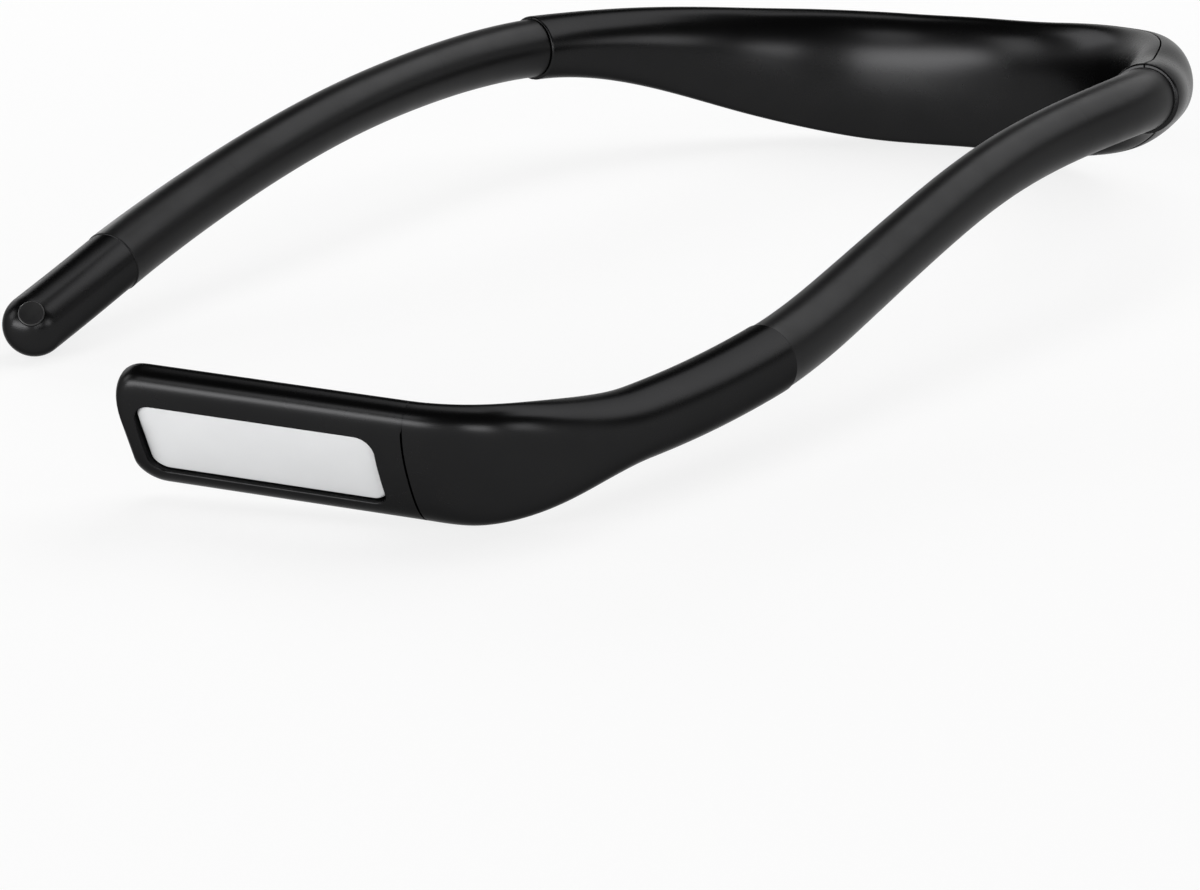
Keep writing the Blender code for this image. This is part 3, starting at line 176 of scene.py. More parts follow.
# End cap and its button
CAP_RADIUS = 6.6 * MM
CAP_WALL = 1.3 * MM
CAP_INNER_RADIUS = CAP_RADIUS - CAP_WALL
BUTTON_DIRECTION_SHARES = (0.492, -0.694, 0.526)
BUTTON_RADIUS = 2.7 * MM
BUTTON_FLANGE = 0.6 * MM
BUTTON_FLANGE_THICKNESS = 0.8 * MM
BUTTON_SINK = 0.15 * MM
BUTTON_ROUND = 0.28 * MM
BUTTON_EDGE_GAP = 0.06 * MM
BUTTON_DISH = 0.12 * MM

# Lamp neck
NECK_RADIUS = 6.95 * MM
NECK_WALL = 1.5 * MM
NECK_FLATTEN_SHARE = 0.45

# Lamp head: x runs from the seam to the tip, y out of the light face, z up the face
HEAD_LENGTH = 56.8 * MM
HEAD_HALF_HEIGHT = 14.6 * MM
HEAD_HALF_THICKNESS = 4.3 * MM
HEAD_FRONT_HALF_THICKNESS = 5.7 * MM
HEAD_TILT = 37.0 * DEG
HEAD_WALL = 1.4 * MM
HEAD_BACK_POWER = 2.8
HEAD_FRONT_POWER = 2.35
HEAD_CORNER = 5.8 * MM
HEAD_SEAM_CORNER = 0.12 * MM
HEAD_END_ROUNDING = 2.6 * MM
HEAD_FLAT_SINK = 0.1 * MM
HEAD_FLOOR_SINK = 0.1 * MM
PARTING_HEIGHT = 1.15 * MM
TONGUE_HALF_HEIGHT = 8.0 * MM
TONGUE_HALF_THICKNESS = 1.5 * MM
TONGUE_DROP = 0.9 * MM
WINDOW_TIP_MARGIN = 4.3 * MM
WINDOW_SEAM_MARGIN = 5.9 * MM
WINDOW_LENGTH = HEAD_LENGTH - WINDOW_TIP_MARGIN - WINDOW_SEAM_MARGIN
WINDOW_HEIGHT = 17.4 * MM
WINDOW_LIFT = 0.85 * MM
WINDOW_CORNER = 3.4 * MM
WINDOW_ROUND = 0.35 * MM
DIFFUSER_EDGE_GAP = 0.08 * MM
DIFFUSER_ROUND = 0.7 * MM
DIFFUSER_FRONT = 4.2 * MM
DIFFUSER_BACK = 2.35 * MM

# Fineness of the skins
STATION_LENGTH = 1.2 * MM
SLEEVE_STATION_LENGTH = 1.0 * MM
ARC_STEPS = 56
SLEEVE_SIDES = 72
SHELL_SIDES = 112
ROUND_STEPS = 4
DOME_STEPS = 24
PROFILE_STEPS = 14
CORNER_STEPS = 14
SIDE_STEPS = 26
PARTING_STEPS = 4
FLOOR_STEPS = 10
CROWN_START_SHARE = 0.55
CROWN_STEPS = 14
HALVINGS = 24
SMOOTH_ANGLE = 38.0 * DEG

# The camera in the route's own axes, found from the photograph, with a lens in millimetres
CAMERA_PLACE = (480.65 * MM, -881.64 * MM, 130.66 * MM)
CAMERA_FORWARD_SHARES = (-0.54332, 0.81117, -0.21637)
CAMERA_DOWN_SHARES = (0.11244, -0.1851, -0.97627)
CAMERA_LENS = 124.5
CAMERA_SENSOR = 36.0


# Small tools


def unit(vector):
    """A vector's direction, at length 1."""
    return vector / np.linalg.norm(vector)


def smoothstep(start, end, value):
    """A soft step: 0 up to start, 1 from end on."""
    x = min(max((value - start) / (end - start), 0.0), 1.0)
    return x * x * (3.0 - 2.0 * x)


def mix(start, end, share):
    """What lies a share of the way from start to end."""
    return start + (end - start) * share


def between(here, there, share):
    """The place a share of the way from one place of an outline to another."""
    return mix(here[0], there[0], share), mix(here[1], there[1], share)


def stepped(start, end, count):
    """Numbers from start to end in equal steps."""
    return [start + (end - start) * i / count for i in range(count + 1)]


def spaced(start, end, longest):
    """Distances from start to end, no further apart than longest."""
    return stepped(start, end, max(1, math.ceil(abs(end - start) / longest)))


def round_turns(sides):
    """Equal angles round a full turn, one for each side."""
    return [2.0 * math.pi * i / sides for i in range(sides)]


def power_curve(angle, half_up, half_out, power):
    """A point of a rounded outline: up and out."""
    c = math.cos(angle)
    s = math.sin(angle)
    share = 2.0 / power
    return (
        half_up * math.copysign(abs(c) ** share, c),
        half_out * math.copysign(abs(s) ** share, s),
    )


def edge_rows(radius):
    """A rounded edge: pairs of distance from the end and inset, from the end inwards."""
    angles = stepped(0.0, QUARTER_TURN, ROUND_STEPS)
    return [(radius * (1.0 - math.cos(a)), radius * (1.0 - math.sin(a))) for a in angles]


def edged(start, end, radius, longest, rounded):
    """Distances from start to end, with the inset there. Rounded tells which ends have an edge.

    A row close behind an edge holds the surface's shading level up to it.
    """
    held = radius + SEAM_HOLD
    low = start + held if rounded[0] else start
    high = end - held if rounded[1] else end
    rows = [(x, 0.0) for x in spaced(low, high, longest)]
    if rounded[0]:
        rows = [(start + d, inset) for d, inset in edge_rows(radius)] + rows
    if rounded[1]:
        rows += [(end - d, inset) for d, inset in edge_rows(radius)[::-1]]
    return rows


# The route


def head_direction():
    """The way the head points, from its seam to its tip."""
    level = math.cos(HEAD_RISE)
    return np.array([
        -math.cos(HEAD_TURN) * level,
        -math.sin(HEAD_TURN) * level,
        math.sin(HEAD_RISE),
    ])


class Route:
    """One smooth line through all the places, with its own axes at every distance along it."""

    def __init__(self, points, end_direction):
        """A cubic spline, free at the cap's tip and set to the head's direction at its end."""
        knots = np.concatenate([[0.0], np.cumsum(np.linalg.norm(np.diff(points, axis=0), axis=1))])
        steps = np.diff(knots)
        chords = np.diff(points, axis=0) / steps[:, None]
        count = len(points)
        matrix = np.eye(count)
        target = np.zeros((count, 3))
        for i in range(1, count - 1):
            matrix[i, i - 1:i + 2] = steps[i - 1], 2.0 * (steps[i - 1] + steps[i]), steps[i]
            target[i] = 6.0 * (chords[i] - chords[i - 1])
        matrix[-1, -2:] = steps[-1], 2.0 * steps[-1]
        target[-1] = 6.0 * (end_direction - chords[-1])
        bend = np.linalg.solve(matrix, target)
        places = np.linspace(0.0, knots[-1], ROUTE_SAMPLES)
        row = np.clip(np.searchsorted(knots, places, side="right") - 1, 0, count - 2)
        width = steps[row]
        after = ((places - knots[row]) / width)[:, None]
        before = 1.0 - after
        curve = (before ** 3 - before) * bend[row] + (after ** 3 - after) * bend[row + 1]
        line = before * points[row] + after * points[row + 1]
        self.places = line + curve * (width[:, None] ** 2) / 6.0
        lengths = np.linalg.norm(np.diff(self.places, axis=0), axis=1)
        self.distance = np.concatenate([[0.0], np.cumsum(lengths)])
        self.knot_distance = np.interp(knots, places, self.distance)
        self.tangents = np.gradient(self.places, self.distance, axis=0)

    def at(self, distance):
        """The point, the way along, up and out at a distance along the route."""
        inside = min(max(distance, 0.0), self.distance[-1])
        point, along = (
            np.array([np.interp(inside, self.distance, column) for column in rows.T])
            for rows in (self.places, self.tangents)
        )
        along = unit(along)
        point = point + along * (distance - inside)
        up = np.array([0.0, 0.0, 1.0])
        up = unit(up - along * np.dot(up, along))
        return point, along, up, np.cross(up, along)


def make_route():
    """The route and the distances of its seams."""
    groups = (
        ("tip", CAP_SHARES),
        ("left_front", LEFT_FRONT_SEAM_SHARES),
        ("left_arm", LEFT_ARM_SHARES),
        ("left_rear", LEFT_REAR_SEAM_SHARES),
        ("left_housing", [(-x, y, z) for x, y, z in HOUSING_SIDE_SHARES]),
        ("lowest", HOUSING_MIDDLE_SHARES),
        ("right_housing", HOUSING_SIDE_SHARES[::-1]),
        ("right_rear", RIGHT_REAR_SEAM_SHARES),
        ("right_arm", RIGHT_ARM_SHARES),
        ("right_front", RIGHT_FRONT_SEAM_SHARES),
        ("neck", NECK_SHARES),
        ("head", HEAD_SEAM_SHARES),
    )
    shares = []
    first = {}
    for name, group in groups:
        first[name] = len(shares)
        shares.extend(group)
    route = Route(np.array(shares) * (HALF_SPAN, -REACH, DROP), head_direction())
    seams = {name: route.knot_distance[index] for name, index in first.items()}
    seams["middle"] = 0.5 * (seams["left_rear"] + seams["right_rear"])
    return route, seams


ROUTE, SEAMS = make_route()
HOUSING_HALF_LENGTH = 0.5 * (SEAMS["right_rear"] - SEAMS["left_rear"])
NECK_LENGTH = SEAMS["head"] - SEAMS["right_front"]


class Arm:
    """One arm, measured from its rear seam towards its front seam."""

    def __init__(self, side, tip_body):
        """The arm's place on the route, and its bodies from the housing to its tip."""
        self.side = side
        self.sign = 1.0 if side == "right" else -1.0
        self.rear = SEAMS[side + "_rear"]
        self.length = abs(SEAMS[side + "_front"] - self.rear)
        self.bend_spacing = self.length / BENDS_PER_ARM
        links = [side + "_link_" + str(i + 1) for i in range(BENDS_PER_ARM - 1)]
        self.bodies = ["housing"] + links + [tip_body]

    def at(self, along):
        """The point, the way forward, up and out at a distance from the rear seam."""
        point, direction, up, out = ROUTE.at(self.rear + self.sign * along)
        return point, direction * self.sign, up, out

    def bend(self, number):
        """How far along the arm a bend is."""
        return (number + 0.5) * self.bend_spacing

    def sleeve_radius(self, along):
        """The sleeve's radius: it flares towards both seams and swells where it ends."""
        share = min(max(along / self.length, 0.0), 1.0)
        rear = SLEEVE_REAR_FLARE * (1.0 - share) ** 3
        end_distance = min(along, self.length - along)
        lip = SLEEVE_LIP * (1.0 - smoothstep(0.0, SLEEVE_LIP_LENGTH, end_distance))
        return SLEEVE_WAIST_RADIUS + rear + SLEEVE_FRONT_FLARE * share ** 2 + lip


ARMS = {"left": Arm("left", "left_cap"), "right": Arm("right", "lamp")}


def fit_to_frame():
    """The turn and shift from the route's own axes to the frame, from the arms' hinges."""
    places = {}
    for arm in ARMS.values():
        for number in range(BENDS_PER_ARM):
            pair = (arm.bodies[number], arm.bodies[number + 1])
            places[pair] = arm.at(arm.bend(number))[0]
    own = []
    packed = []
    for joint in frame["joints"]:
        pair = (joint["parent"], joint["child"])
        if pair in places:
            own.append(places[pair])
            packed.append(joint["pos_m"])
    own = np.array(own)
    packed = np.array(packed)
    own_middle = own.mean(axis=0)
    packed_middle = packed.mean(axis=0)
    left, _, right = np.linalg.svd((own - own_middle).T @ (packed - packed_middle))
    handed = np.diag([1.0, 1.0, math.copysign(1.0, np.linalg.det(left @ right))])
    turn = (left @ handed @ right).T
    return turn, packed_middle - turn @ own_middle


FRAME_TURN, FRAME_SHIFT = fit_to_frame()


def in_frame(points):
    """Carry points from the route's own axes to the frame."""
    return np.array(points) @ FRAME_TURN.T + FRAME_SHIFT


# Meshes


def add_object(name, data):
    """A new object in the scene."""
    item = bpy.data.objects.new(name, data)
    bpy.context.scene.collection.objects.link(item)
    return item


def ring_at(axes, radius, sides):
    """A ring of points round the route."""
    point, _, up, out = axes
    return [point + radius * (math.cos(a) * up + math.sin(a) * out) for a in round_turns(sides)]


def turned(centre, axis, side, profile, sides):
    """Rings turned round an axis: each row of the profile is a radius and a height."""
    other = np.cross(axis, side)
    turns = round_turns(sides)
    return [
        [centre + axis * height + radius * (math.cos(a) * side + math.sin(a) * other) for a in turns]
        for radius, height in profile
    ]


def loft(rings, ends):
    """Join equal rings with faces. Ends are "open", "caps", or "loop" to join last to first."""
    sides = len(rings[0])
    verts = [v for ring in rings for v in ring]
    faces = []
    count = len(rings)
    for row in range(count if ends == "loop" else count - 1):
        start = row * sides
        after = ((row + 1) % count) * sides
        for i in range(sides):
            j = (i + 1) % sides
            faces.append((start + i, start + j, after + j, after + i))
    if ends == "caps":
        faces.append(tuple(range(sides))[::-1])
        faces.append(tuple(range((count - 1) * sides, count * sides)))
    return verts, faces


def make_mesh(name, verts, faces):
    """A closed smooth mesh in the frame, with sharp edges where the form has them."""
    mesh = bpy.data.meshes.new(name)
    mesh.from_pydata(in_frame(verts).tolist(), [], faces)
    work = bmesh.new()
    work.from_mesh(mesh)
    bmesh.ops.recalc_face_normals(work, faces=work.faces)
    work.to_mesh(mesh)
    work.free()
    mesh.shade_smooth()
    mesh.set_sharp_from_angle(angle=SMOOTH_ANGLE)
    return add_object(name, mesh)


def make_skin(name, shape, slot):
    """One visible piece, with the finish listed under a slot's name."""
    item = make_mesh(name, *shape)
    item.data.materials.append(FINISHES[slot])
    return item


def cut(item, shapes):
    """Cut shapes out of a piece, and keep the result as its mesh."""
    guides = []
    for number, shape in enumerate(shapes):
        guide = make_mesh(item.name + "_cut_" + str(number + 1), *shape)
        guides.append(guide)
        change = item.modifiers.new(guide.name, "BOOLEAN")
        change.operation = "DIFFERENCE"
        change.solver = "EXACT"
        change.object = guide
    bpy.context.view_layer.update()
    shown = item.evaluated_get(bpy.context.evaluated_depsgraph_get())
    settled = bpy.data.meshes.new_from_object(shown)
    item.modifiers.clear()
    item.data = settled
    settled.set_sharp_from_angle(angle=SMOOTH_ANGLE)
    for guide in guides:
        bpy.data.objects.remove(guide, do_unlink=True)


# Materials

# How much of white the two blacks mirror where they turn away. Plain plastic would mirror the
# white floor along every lower edge, and the edges in the photograph stay dark.
EDGE_TINT = (0.47, 0.47, 0.47, 1.0)
SOFT_EDGE_TINT = (0.75, 0.75, 0.75, 1.0)

# How dark steel's darker lines are, and how the noise is stretched to make lines of it
STEEL_SHADE_SHARE = 0.85
DRAWN_LINE_SHARES = (1.0, 0.05, 1.0)

# The part of each texture's values that is spread over a range
NOISE_SPREAD_SHARES = (0.3, 0.7)
FOIL_SPREAD_SHARES = (0.0, 0.8)
FOAM_SPREAD_SHARES = (0.0, 0.7)
TRACK_EDGE_SHARES = (0.02, 0.10)


def feed(tree, node, sockets):
    """Give a node's sockets their values, or links from other nodes."""
    for name, value in sockets.items():
        if isinstance(value, bpy.types.NodeSocket):
            tree.links.new(value, node.inputs[name])
        else:
            node.inputs[name].default_value = value


def add_node(tree, kind, sockets):
    """A new shader node, with the values or links of its sockets."""
    node = tree.nodes.new("ShaderNode" + kind)
    feed(tree, node, sockets)
    return node


class Finish:
    """A node material on the Principled shader, with its textures in metres."""

    def __init__(self, name, fixed):
        """A new material, with the shader's values that no texture changes."""
        self.material = bpy.data.materials.new(name)
        self.material.use_nodes = True
        self.tree = self.material.node_tree
        self.shader = self.tree.nodes["Principled BSDF"]
        feed(self.tree, self.shader, fixed)
        self.place = self.tree.nodes.new("ShaderNodeTexCoord").outputs["Object"]
        self.normal = None

    def noise(self, size, detail=2.0, roughness=0.5, stretch=(1.0, 1.0, 1.0)):
        """Noise with features of about the given size."""
        mapping = add_node(self.tree, "Mapping", {"Vector": self.place, "Scale": stretch})
        place = mapping.outputs["Vector"]
        sockets = {"Vector": place, "Scale": 1.0 / size, "Detail": detail, "Roughness": roughness}
        return add_node(self.tree, "TexNoise", sockets).outputs["Fac"]

    def cells(self, size, feature="F1"):
        """Distances in a pattern of cells of about the given size."""
        node = add_node(self.tree, "TexVoronoi", {"Scale": 1.0 / size, "Vector": self.place})
        node.feature = feature
        return node.outputs["Distance"]

    def ranged(self, value, low, high, spread=NOISE_SPREAD_SHARES):
        """Carry the spread of a texture's values to a range."""
        start, end = spread
        sockets = {"Value": value, "From Min": start, "From Max": end, "To Min": low, "To Max": high}
        return add_node(self.tree, "MapRange", sockets).outputs["Result"]

    def rough(self, value, low, high):
        """Vary the roughness by a texture."""
        feed(self.tree, self.shader, {"Roughness": self.ranged(value, low, high)})

    def colour(self, value, dark, light, spread=NOISE_SPREAD_SHARES):
        """Blend two colours by a texture."""
        node = self.tree.nodes.new("ShaderNodeMix")
        node.data_type = "RGBA"
        share = self.ranged(value, 0.0, 1.0, spread)
        feed(self.tree, node, {"Factor": share, "A": (*dark, 1.0), "B": (*light, 1.0)})
        feed(self.tree, self.shader, {"Base Color": node.outputs["Result"]})

    def bump(self, value, height, strength):
        """Raise the surface by a texture, on top of what has raised it already."""
        sockets = {"Height": value, "Distance": height, "Strength": strength}
        if self.normal is not None:
            sockets["Normal"] = self.normal
        self.normal = add_node(self.tree, "Bump", sockets).outputs["Normal"]
        feed(self.tree, self.shader, {"Normal": self.normal})


def gloss_black():
    """Moulded glossy plastic, with faint flow marks and a fine tool grain."""
    finish = Finish("gloss_black_skin", {"Metallic": 1.0, "Specular Tint": EDGE_TINT})
    wide = finish.noise(size=9.0 * MM, detail=3.0)
    fine = finish.noise(size=0.25 * MM)
    finish.colour(wide, dark=(0.0185, 0.0185, 0.0189), light=(0.0197, 0.0197, 0.0201))
    finish.rough(wide, low=0.26, high=0.28)
    finish.bump(fine, height=0.002 * MM, strength=0.5)
    finish.bump(wide, height=0.004 * MM, strength=0.4)
    return finish.material


def silicone_black():
    """Soft matte silicone, with a fine powdery grain and faint long waves."""
    finish = Finish("silicone_black_skin", {"Metallic": 1.0, "Specular Tint": SOFT_EDGE_TINT})
    wide = finish.noise(size=7.0 * MM, detail=3.0)
    grain = finish.noise(size=0.18 * MM, detail=3.0, roughness=0.6)
    finish.colour(grain, dark=(0.0185, 0.0185, 0.0188), light=(0.0215, 0.0215, 0.0220))
    finish.rough(wide, low=0.34, high=0.40)
    finish.bump(grain, height=0.006 * MM, strength=0.6)
    finish.bump(wide, height=0.01 * MM, strength=0.4)
    return finish.material


def button_black():
    """Satin plastic of the button."""
    finish = Finish("button_black_skin", {})
    grain = finish.noise(size=0.15 * MM)
    finish.colour(grain, dark=(0.005, 0.005, 0.0052), light=(0.008, 0.008, 0.0083))
    finish.rough(finish.noise(size=1.5 * MM), low=0.34, high=0.42)
    finish.bump(grain, height=0.004 * MM, strength=0.6)
    return finish.material


def diffuser_white():
    """Frosted acrylic with a fine etched grain."""
    finish = Finish("diffuser_white_skin", {"Specular IOR Level": 0.4})
    grain = finish.noise(size=0.2 * MM)
    wide = finish.noise(size=12.0 * MM)
    finish.colour(wide, dark=(0.545, 0.55, 0.555), light=(0.565, 0.57, 0.575))
    finish.rough(grain, low=0.40, high=0.52)
    finish.bump(grain, height=0.006 * MM, strength=0.5)
    return finish.material


def steel(name, light, low, high):
    """Drawn or plated steel, with fine lines along it."""
    finish = Finish(name, {"Metallic": 1.0})
    lines = finish.noise(size=0.3 * MM, detail=3.0, roughness=0.6, stretch=DRAWN_LINE_SHARES)
    finish.colour(lines, [STEEL_SHADE_SHARE * c for c in light], light)
    finish.rough(lines, low, high)
    finish.bump(lines, height=0.004 * MM, strength=0.5)
    return finish.material


def circuit_green():
    """Board lacquer over copper tracks."""
    finish = Finish("circuit_green_skin", {})
    tracks = finish.cells(size=2.2 * MM, feature="DISTANCE_TO_EDGE")
    finish.colour(tracks, (0.03, 0.16, 0.07), (0.012, 0.075, 0.035), TRACK_EDGE_SHARES)
    finish.rough(finish.noise(size=0.8 * MM), low=0.30, high=0.42)
    finish.bump(tracks, height=0.03 * MM, strength=0.4)
    return finish.material


def light_board_white():
    """White lacquer of the lamp's board and of the light chips raised on it."""
    finish = Finish("light_board_skin", {})
    grain = finish.noise(size=0.4 * MM)
    finish.colour(grain, dark=(0.80, 0.79, 0.74), light=(0.86, 0.85, 0.80))
    finish.rough(grain, low=0.35, high=0.45)
    finish.bump(grain, height=0.004 * MM, strength=0.5)
    return finish.material


def plain_plastic(name, dark, light, low, high):
    """A moulded inner part, with spark-eroded grain."""
    finish = Finish(name, {})
    grain = finish.noise(size=0.22 * MM, detail=3.0, roughness=0.6)
    finish.colour(grain, dark, light)
    finish.rough(grain, low, high)
    finish.bump(grain, height=0.01 * MM, strength=0.5)
    return finish.material


def battery_foil():
    """Creased pouch foil."""
    finish = Finish("battery_foil_skin", {"Metallic": 0.6})
    creases = finish.cells(size=3.5 * MM)
    finish.colour(creases, (0.50, 0.52, 0.54), (0.64, 0.66, 0.68), FOIL_SPREAD_SHARES)
    finish.rough(finish.noise(size=1.0 * MM), low=0.28, high=0.42)
    finish.bump(creases, height=0.08 * MM, strength=0.5)
    return finish.material


def pad_foam():
    """Grey adhesive foam."""
    finish = Finish("pad_foam_skin", {"Specular IOR Level": 0.2})
    pores = finish.cells(size=0.35 * MM)
    finish.colour(pores, (0.12, 0.12, 0.12), (0.24, 0.24, 0.24), FOAM_SPREAD_SHARES)
    finish.rough(pores, low=0.80, high=0.95)
    finish.bump(pores, height=0.05 * MM, strength=0.7)
    return finish.material


def light_pipe():
    """Clear frosted light pipe."""
    finish = Finish("light_pipe_skin", {"IOR": 1.49, "Transmission Weight": 0.4})
    grain = finish.noise(size=0.2 * MM)
    finish.colour(grain, dark=(0.72, 0.74, 0.74), light=(0.80, 0.81, 0.81))
    finish.rough(grain, low=0.25, high=0.35)
    finish.bump(grain, height=0.003 * MM, strength=0.4)
    return finish.material


# Inner plastics: material name, darker and lighter colour, least and most roughness
PLASTICS = {
    "white": ("white_plastic_skin", (0.78, 0.78, 0.76), (0.84, 0.84, 0.82), 0.42, 0.52),
    "rigid": ("rigid_black_skin", (0.012, 0.012, 0.012), (0.022, 0.022, 0.022), 0.45, 0.58),
    "chip": ("chip_black_skin", (0.014, 0.014, 0.015), (0.026, 0.026, 0.027), 0.50, 0.62),
    "lead": ("lead_red_skin", (0.24, 0.015, 0.012), (0.34, 0.025, 0.02), 0.42, 0.52),
}

# Steels: material name, lighter colour, least and most roughness
STEELS = {
    "core": ("core_steel_skin", (0.42, 0.42, 0.43), 0.30, 0.42),
    "ferrule": ("ferrule_steel_skin", (0.60, 0.60, 0.61), 0.22, 0.32),
    "plated": ("plated_steel_skin", (0.66, 0.67, 0.68), 0.16, 0.26),
}

FINISHES = {
    "gloss_shell": gloss_black(),
    "silicone": silicone_black(),
    "button": button_black(),
    "diffuser": diffuser_white(),
    "circuit": circuit_green(),
    "light_board": light_board_white(),
    "battery": battery_foil(),
    "pad": pad_foam(),
    "pipe": light_pipe(),
    **{name: plain_plastic(*values) for name, values in PLASTICS.items()},
    **{name: steel(*values) for name, values in STEELS.items()},
}

# The finish of each kind of node that stays as the model has it
NODE_FINISHES = (
    ("core", "core"),
    ("ferrule", "ferrule"),
    ("board_screw", "plated"),
    ("usb_socket", "plated"),
    ("usb_tongue", "rigid"),
    ("main_board", "circuit"),
    ("switch_board", "circuit"),
    ("led_board", "light_board"),
    ("driver_chip", "chip"),
    ("tact_switch", "chip"),
    ("battery_cell", "battery"),
    ("battery_pad", "pad"),
    ("lead", "lead"),
    ("charge_light", "pipe"),
    ("switch_plunger", "white"),
    ("reflector_frame", "white"),
    ("switch_carrier", "rigid"),
    ("head_tongue", "rigid"),
)


def dress_nodes():
    """Give the model's own nodes their finishes."""
    for name, node in frame["nodes"].items():
        for part, finish in NODE_FINISHES:
            if part in name:
                for place in node.material_slots:
                    place.material = FINISHES[finish]
                break


# Rear housing


def housing_section(offset):
    """Half height, half thickness and outline power at a distance from the middle."""
    fade = smoothstep(SHOULDER_SHARES[0], SHOULDER_SHARES[1], abs(offset) / HOUSING_HALF_LENGTH)
    height = mix(HOUSING_HALF_HEIGHT, HOUSING_END_RADIUS, fade)
    thickness = mix(HOUSING_HALF_THICKNESS, HOUSING_END_RADIUS, fade)
    return height, thickness, mix(BAND_POWER, ROUND_POWER, fade)


def housing_stations():
    """Distances from the middle, each with the inset of the rounded end edge there."""
    left, right = (
        edged(0.0, end - 0.5 * SEAM_GAP, HOUSING_EDGE_ROUND, STATION_LENGTH, (False, True))
        for end in (HOUSING_HALF_LENGTH, HOUSING_HALF_LENGTH + RIGHT_SKIN_REACH)
    )
    return [(-x, inset) for x, inset in left[::-1]] + right[1:]


def half_outline(half_up, half_out, power, corner):
    """Half of a rounded outline from top to bottom, with rounded edges at the parting."""
    reach = 0.5 * GAP + corner
    level = (1.0 - (reach / half_out) ** power) ** (1.0 / power)
    edge = [(half_up * level - inset, 0.5 * GAP + d) for d, inset in edge_rows(corner)[:-1]]
    start = math.asin((reach / half_out) ** (0.5 * power))
    angles = stepped(start, math.pi - start, ARC_STEPS)
    arc = [power_curve(angle, half_up, half_out, power) for angle in angles]
    return edge + arc + [(-a, b) for a, b in edge[::-1]]


def half_shell(facing):
    """One of the two housing shells: facing is 1 for the back and -1 for the neck side."""
    bore_start = HOUSING_HALF_LENGTH - REAR_FERRULE_INSIDE - GAP
    rings = []
    for offset, inset in housing_stations():
        point, _, up, out = ROUTE.at(SEAMS["middle"] + offset)
        height, thickness, power = housing_section(offset)
        outer = half_outline(height - inset, thickness - inset, power, PARTING_ROUND)
        fade = smoothstep(bore_start - SOCKET_STEP, bore_start, abs(offset))
        height, thickness = (mix(x - HOUSING_WALL, SOCKET_RADIUS, fade) for x in (height, thickness))
        inner = half_outline(height, thickness, mix(power, ROUND_POWER, fade), PARTING_ROUND)
        outline = outer + inner[::-1]
        rings.append([point + up * a + out * (facing * b) for a, b in outline])
    verts, faces = loft(rings, "open")
    row = len(rings[0])
    half = row // 2
    for start in (0, (len(rings) - 1) * row):
        for i in range(half - 1):
            faces.append((start + i, start + i + 1, start + row - 2 - i, start + row - 1 - i))
    return verts, faces


def slot_loop(place, up, width, height):
    """A ring with round ends: the outline of the charging slot at one height."""
    point, forward, upward, outward = place
    radius = 0.5 * height
    straight = 0.5 * width - radius
    ring = []
    for end in (1.0, -1.0):
        for angle in stepped(-QUARTER_TURN, QUARTER_TURN, CORNER_STEPS):
            ring.append(
                point + upward * up
                + forward * (end * (straight + radius * math.cos(angle)))
                + outward * (end * radius * math.sin(angle))
            )
    return ring


def cutter_steps(rim):
    """Growth and height of a chamfered hole's rows, from under the housing's rim upwards."""
    return (
        (SLOT_CHAMFER, rim - OVERRUN),
        (SLOT_CHAMFER, rim),
        (0.0, rim + SLOT_CHAMFER),
        (0.0, rim + HOUSING_WALL + OVERRUN),
    )


def charging_cutters():
    """The slot for the charging socket and the hole of the charge light."""
    board = ROUTE.at(SEAMS["middle"] + BOARD_OFFSET)
    point, forward, up, out = board
    rim = -housing_section(BOARD_OFFSET)[0]
    slot = []
    for grow, level in cutter_steps(rim):
        width = USB_WIDTH + 2.0 * (GAP + grow)
        slot.append(slot_loop(board, level, width, USB_HEIGHT + 2.0 * (GAP + grow)))
    pin_offset = BOARD_OFFSET + LIGHT_PIN_OFFSET
    place = point + forward * LIGHT_PIN_OFFSET
    sagged = ROUTE.at(SEAMS["middle"] + pin_offset)[0]
    place = place + out * float(np.dot(sagged - place, out))
    rim = -housing_section(pin_offset)[0] + float(np.dot(sagged - place, up))
    profile = [(LIGHT_PIN_RADIUS + GAP + grow, level) for grow, level in cutter_steps(rim)]
    return loft(slot, "caps"), loft(turned(place, up, forward, profile, SLEEVE_SIDES), "caps")


def make_housing():
    """The two shells of the rear housing."""
    for facing, name, node in (
        (1.0, "housing_back_skin", "housing_outer_shell"),
        (-1.0, "housing_neck_side_skin", "housing_inner_shell"),
    ):
        skin = make_skin(name, half_shell(facing), "gloss_shell")
        cut(skin, charging_cutters())
        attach(skin, "housing")
        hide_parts(node)


# Sleeves


def sleeve_piece(arm, start, end, rounded):
    """A length of sleeve with its bore. Rounded tells which of its ends are cut edges."""
    outer = []
    bore = []
    for x, inset in edged(start, end, SLEEVE_ROUND, SLEEVE_STATION_LENGTH, rounded):
        axes = arm.at(x)
        outer.append(ring_at(axes, arm.sleeve_radius(x) - inset, SLEEVE_SIDES))
        bore.append(ring_at(axes, SOCKET_RADIUS, SLEEVE_SIDES))
    return loft(outer + bore[::-1], "loop")


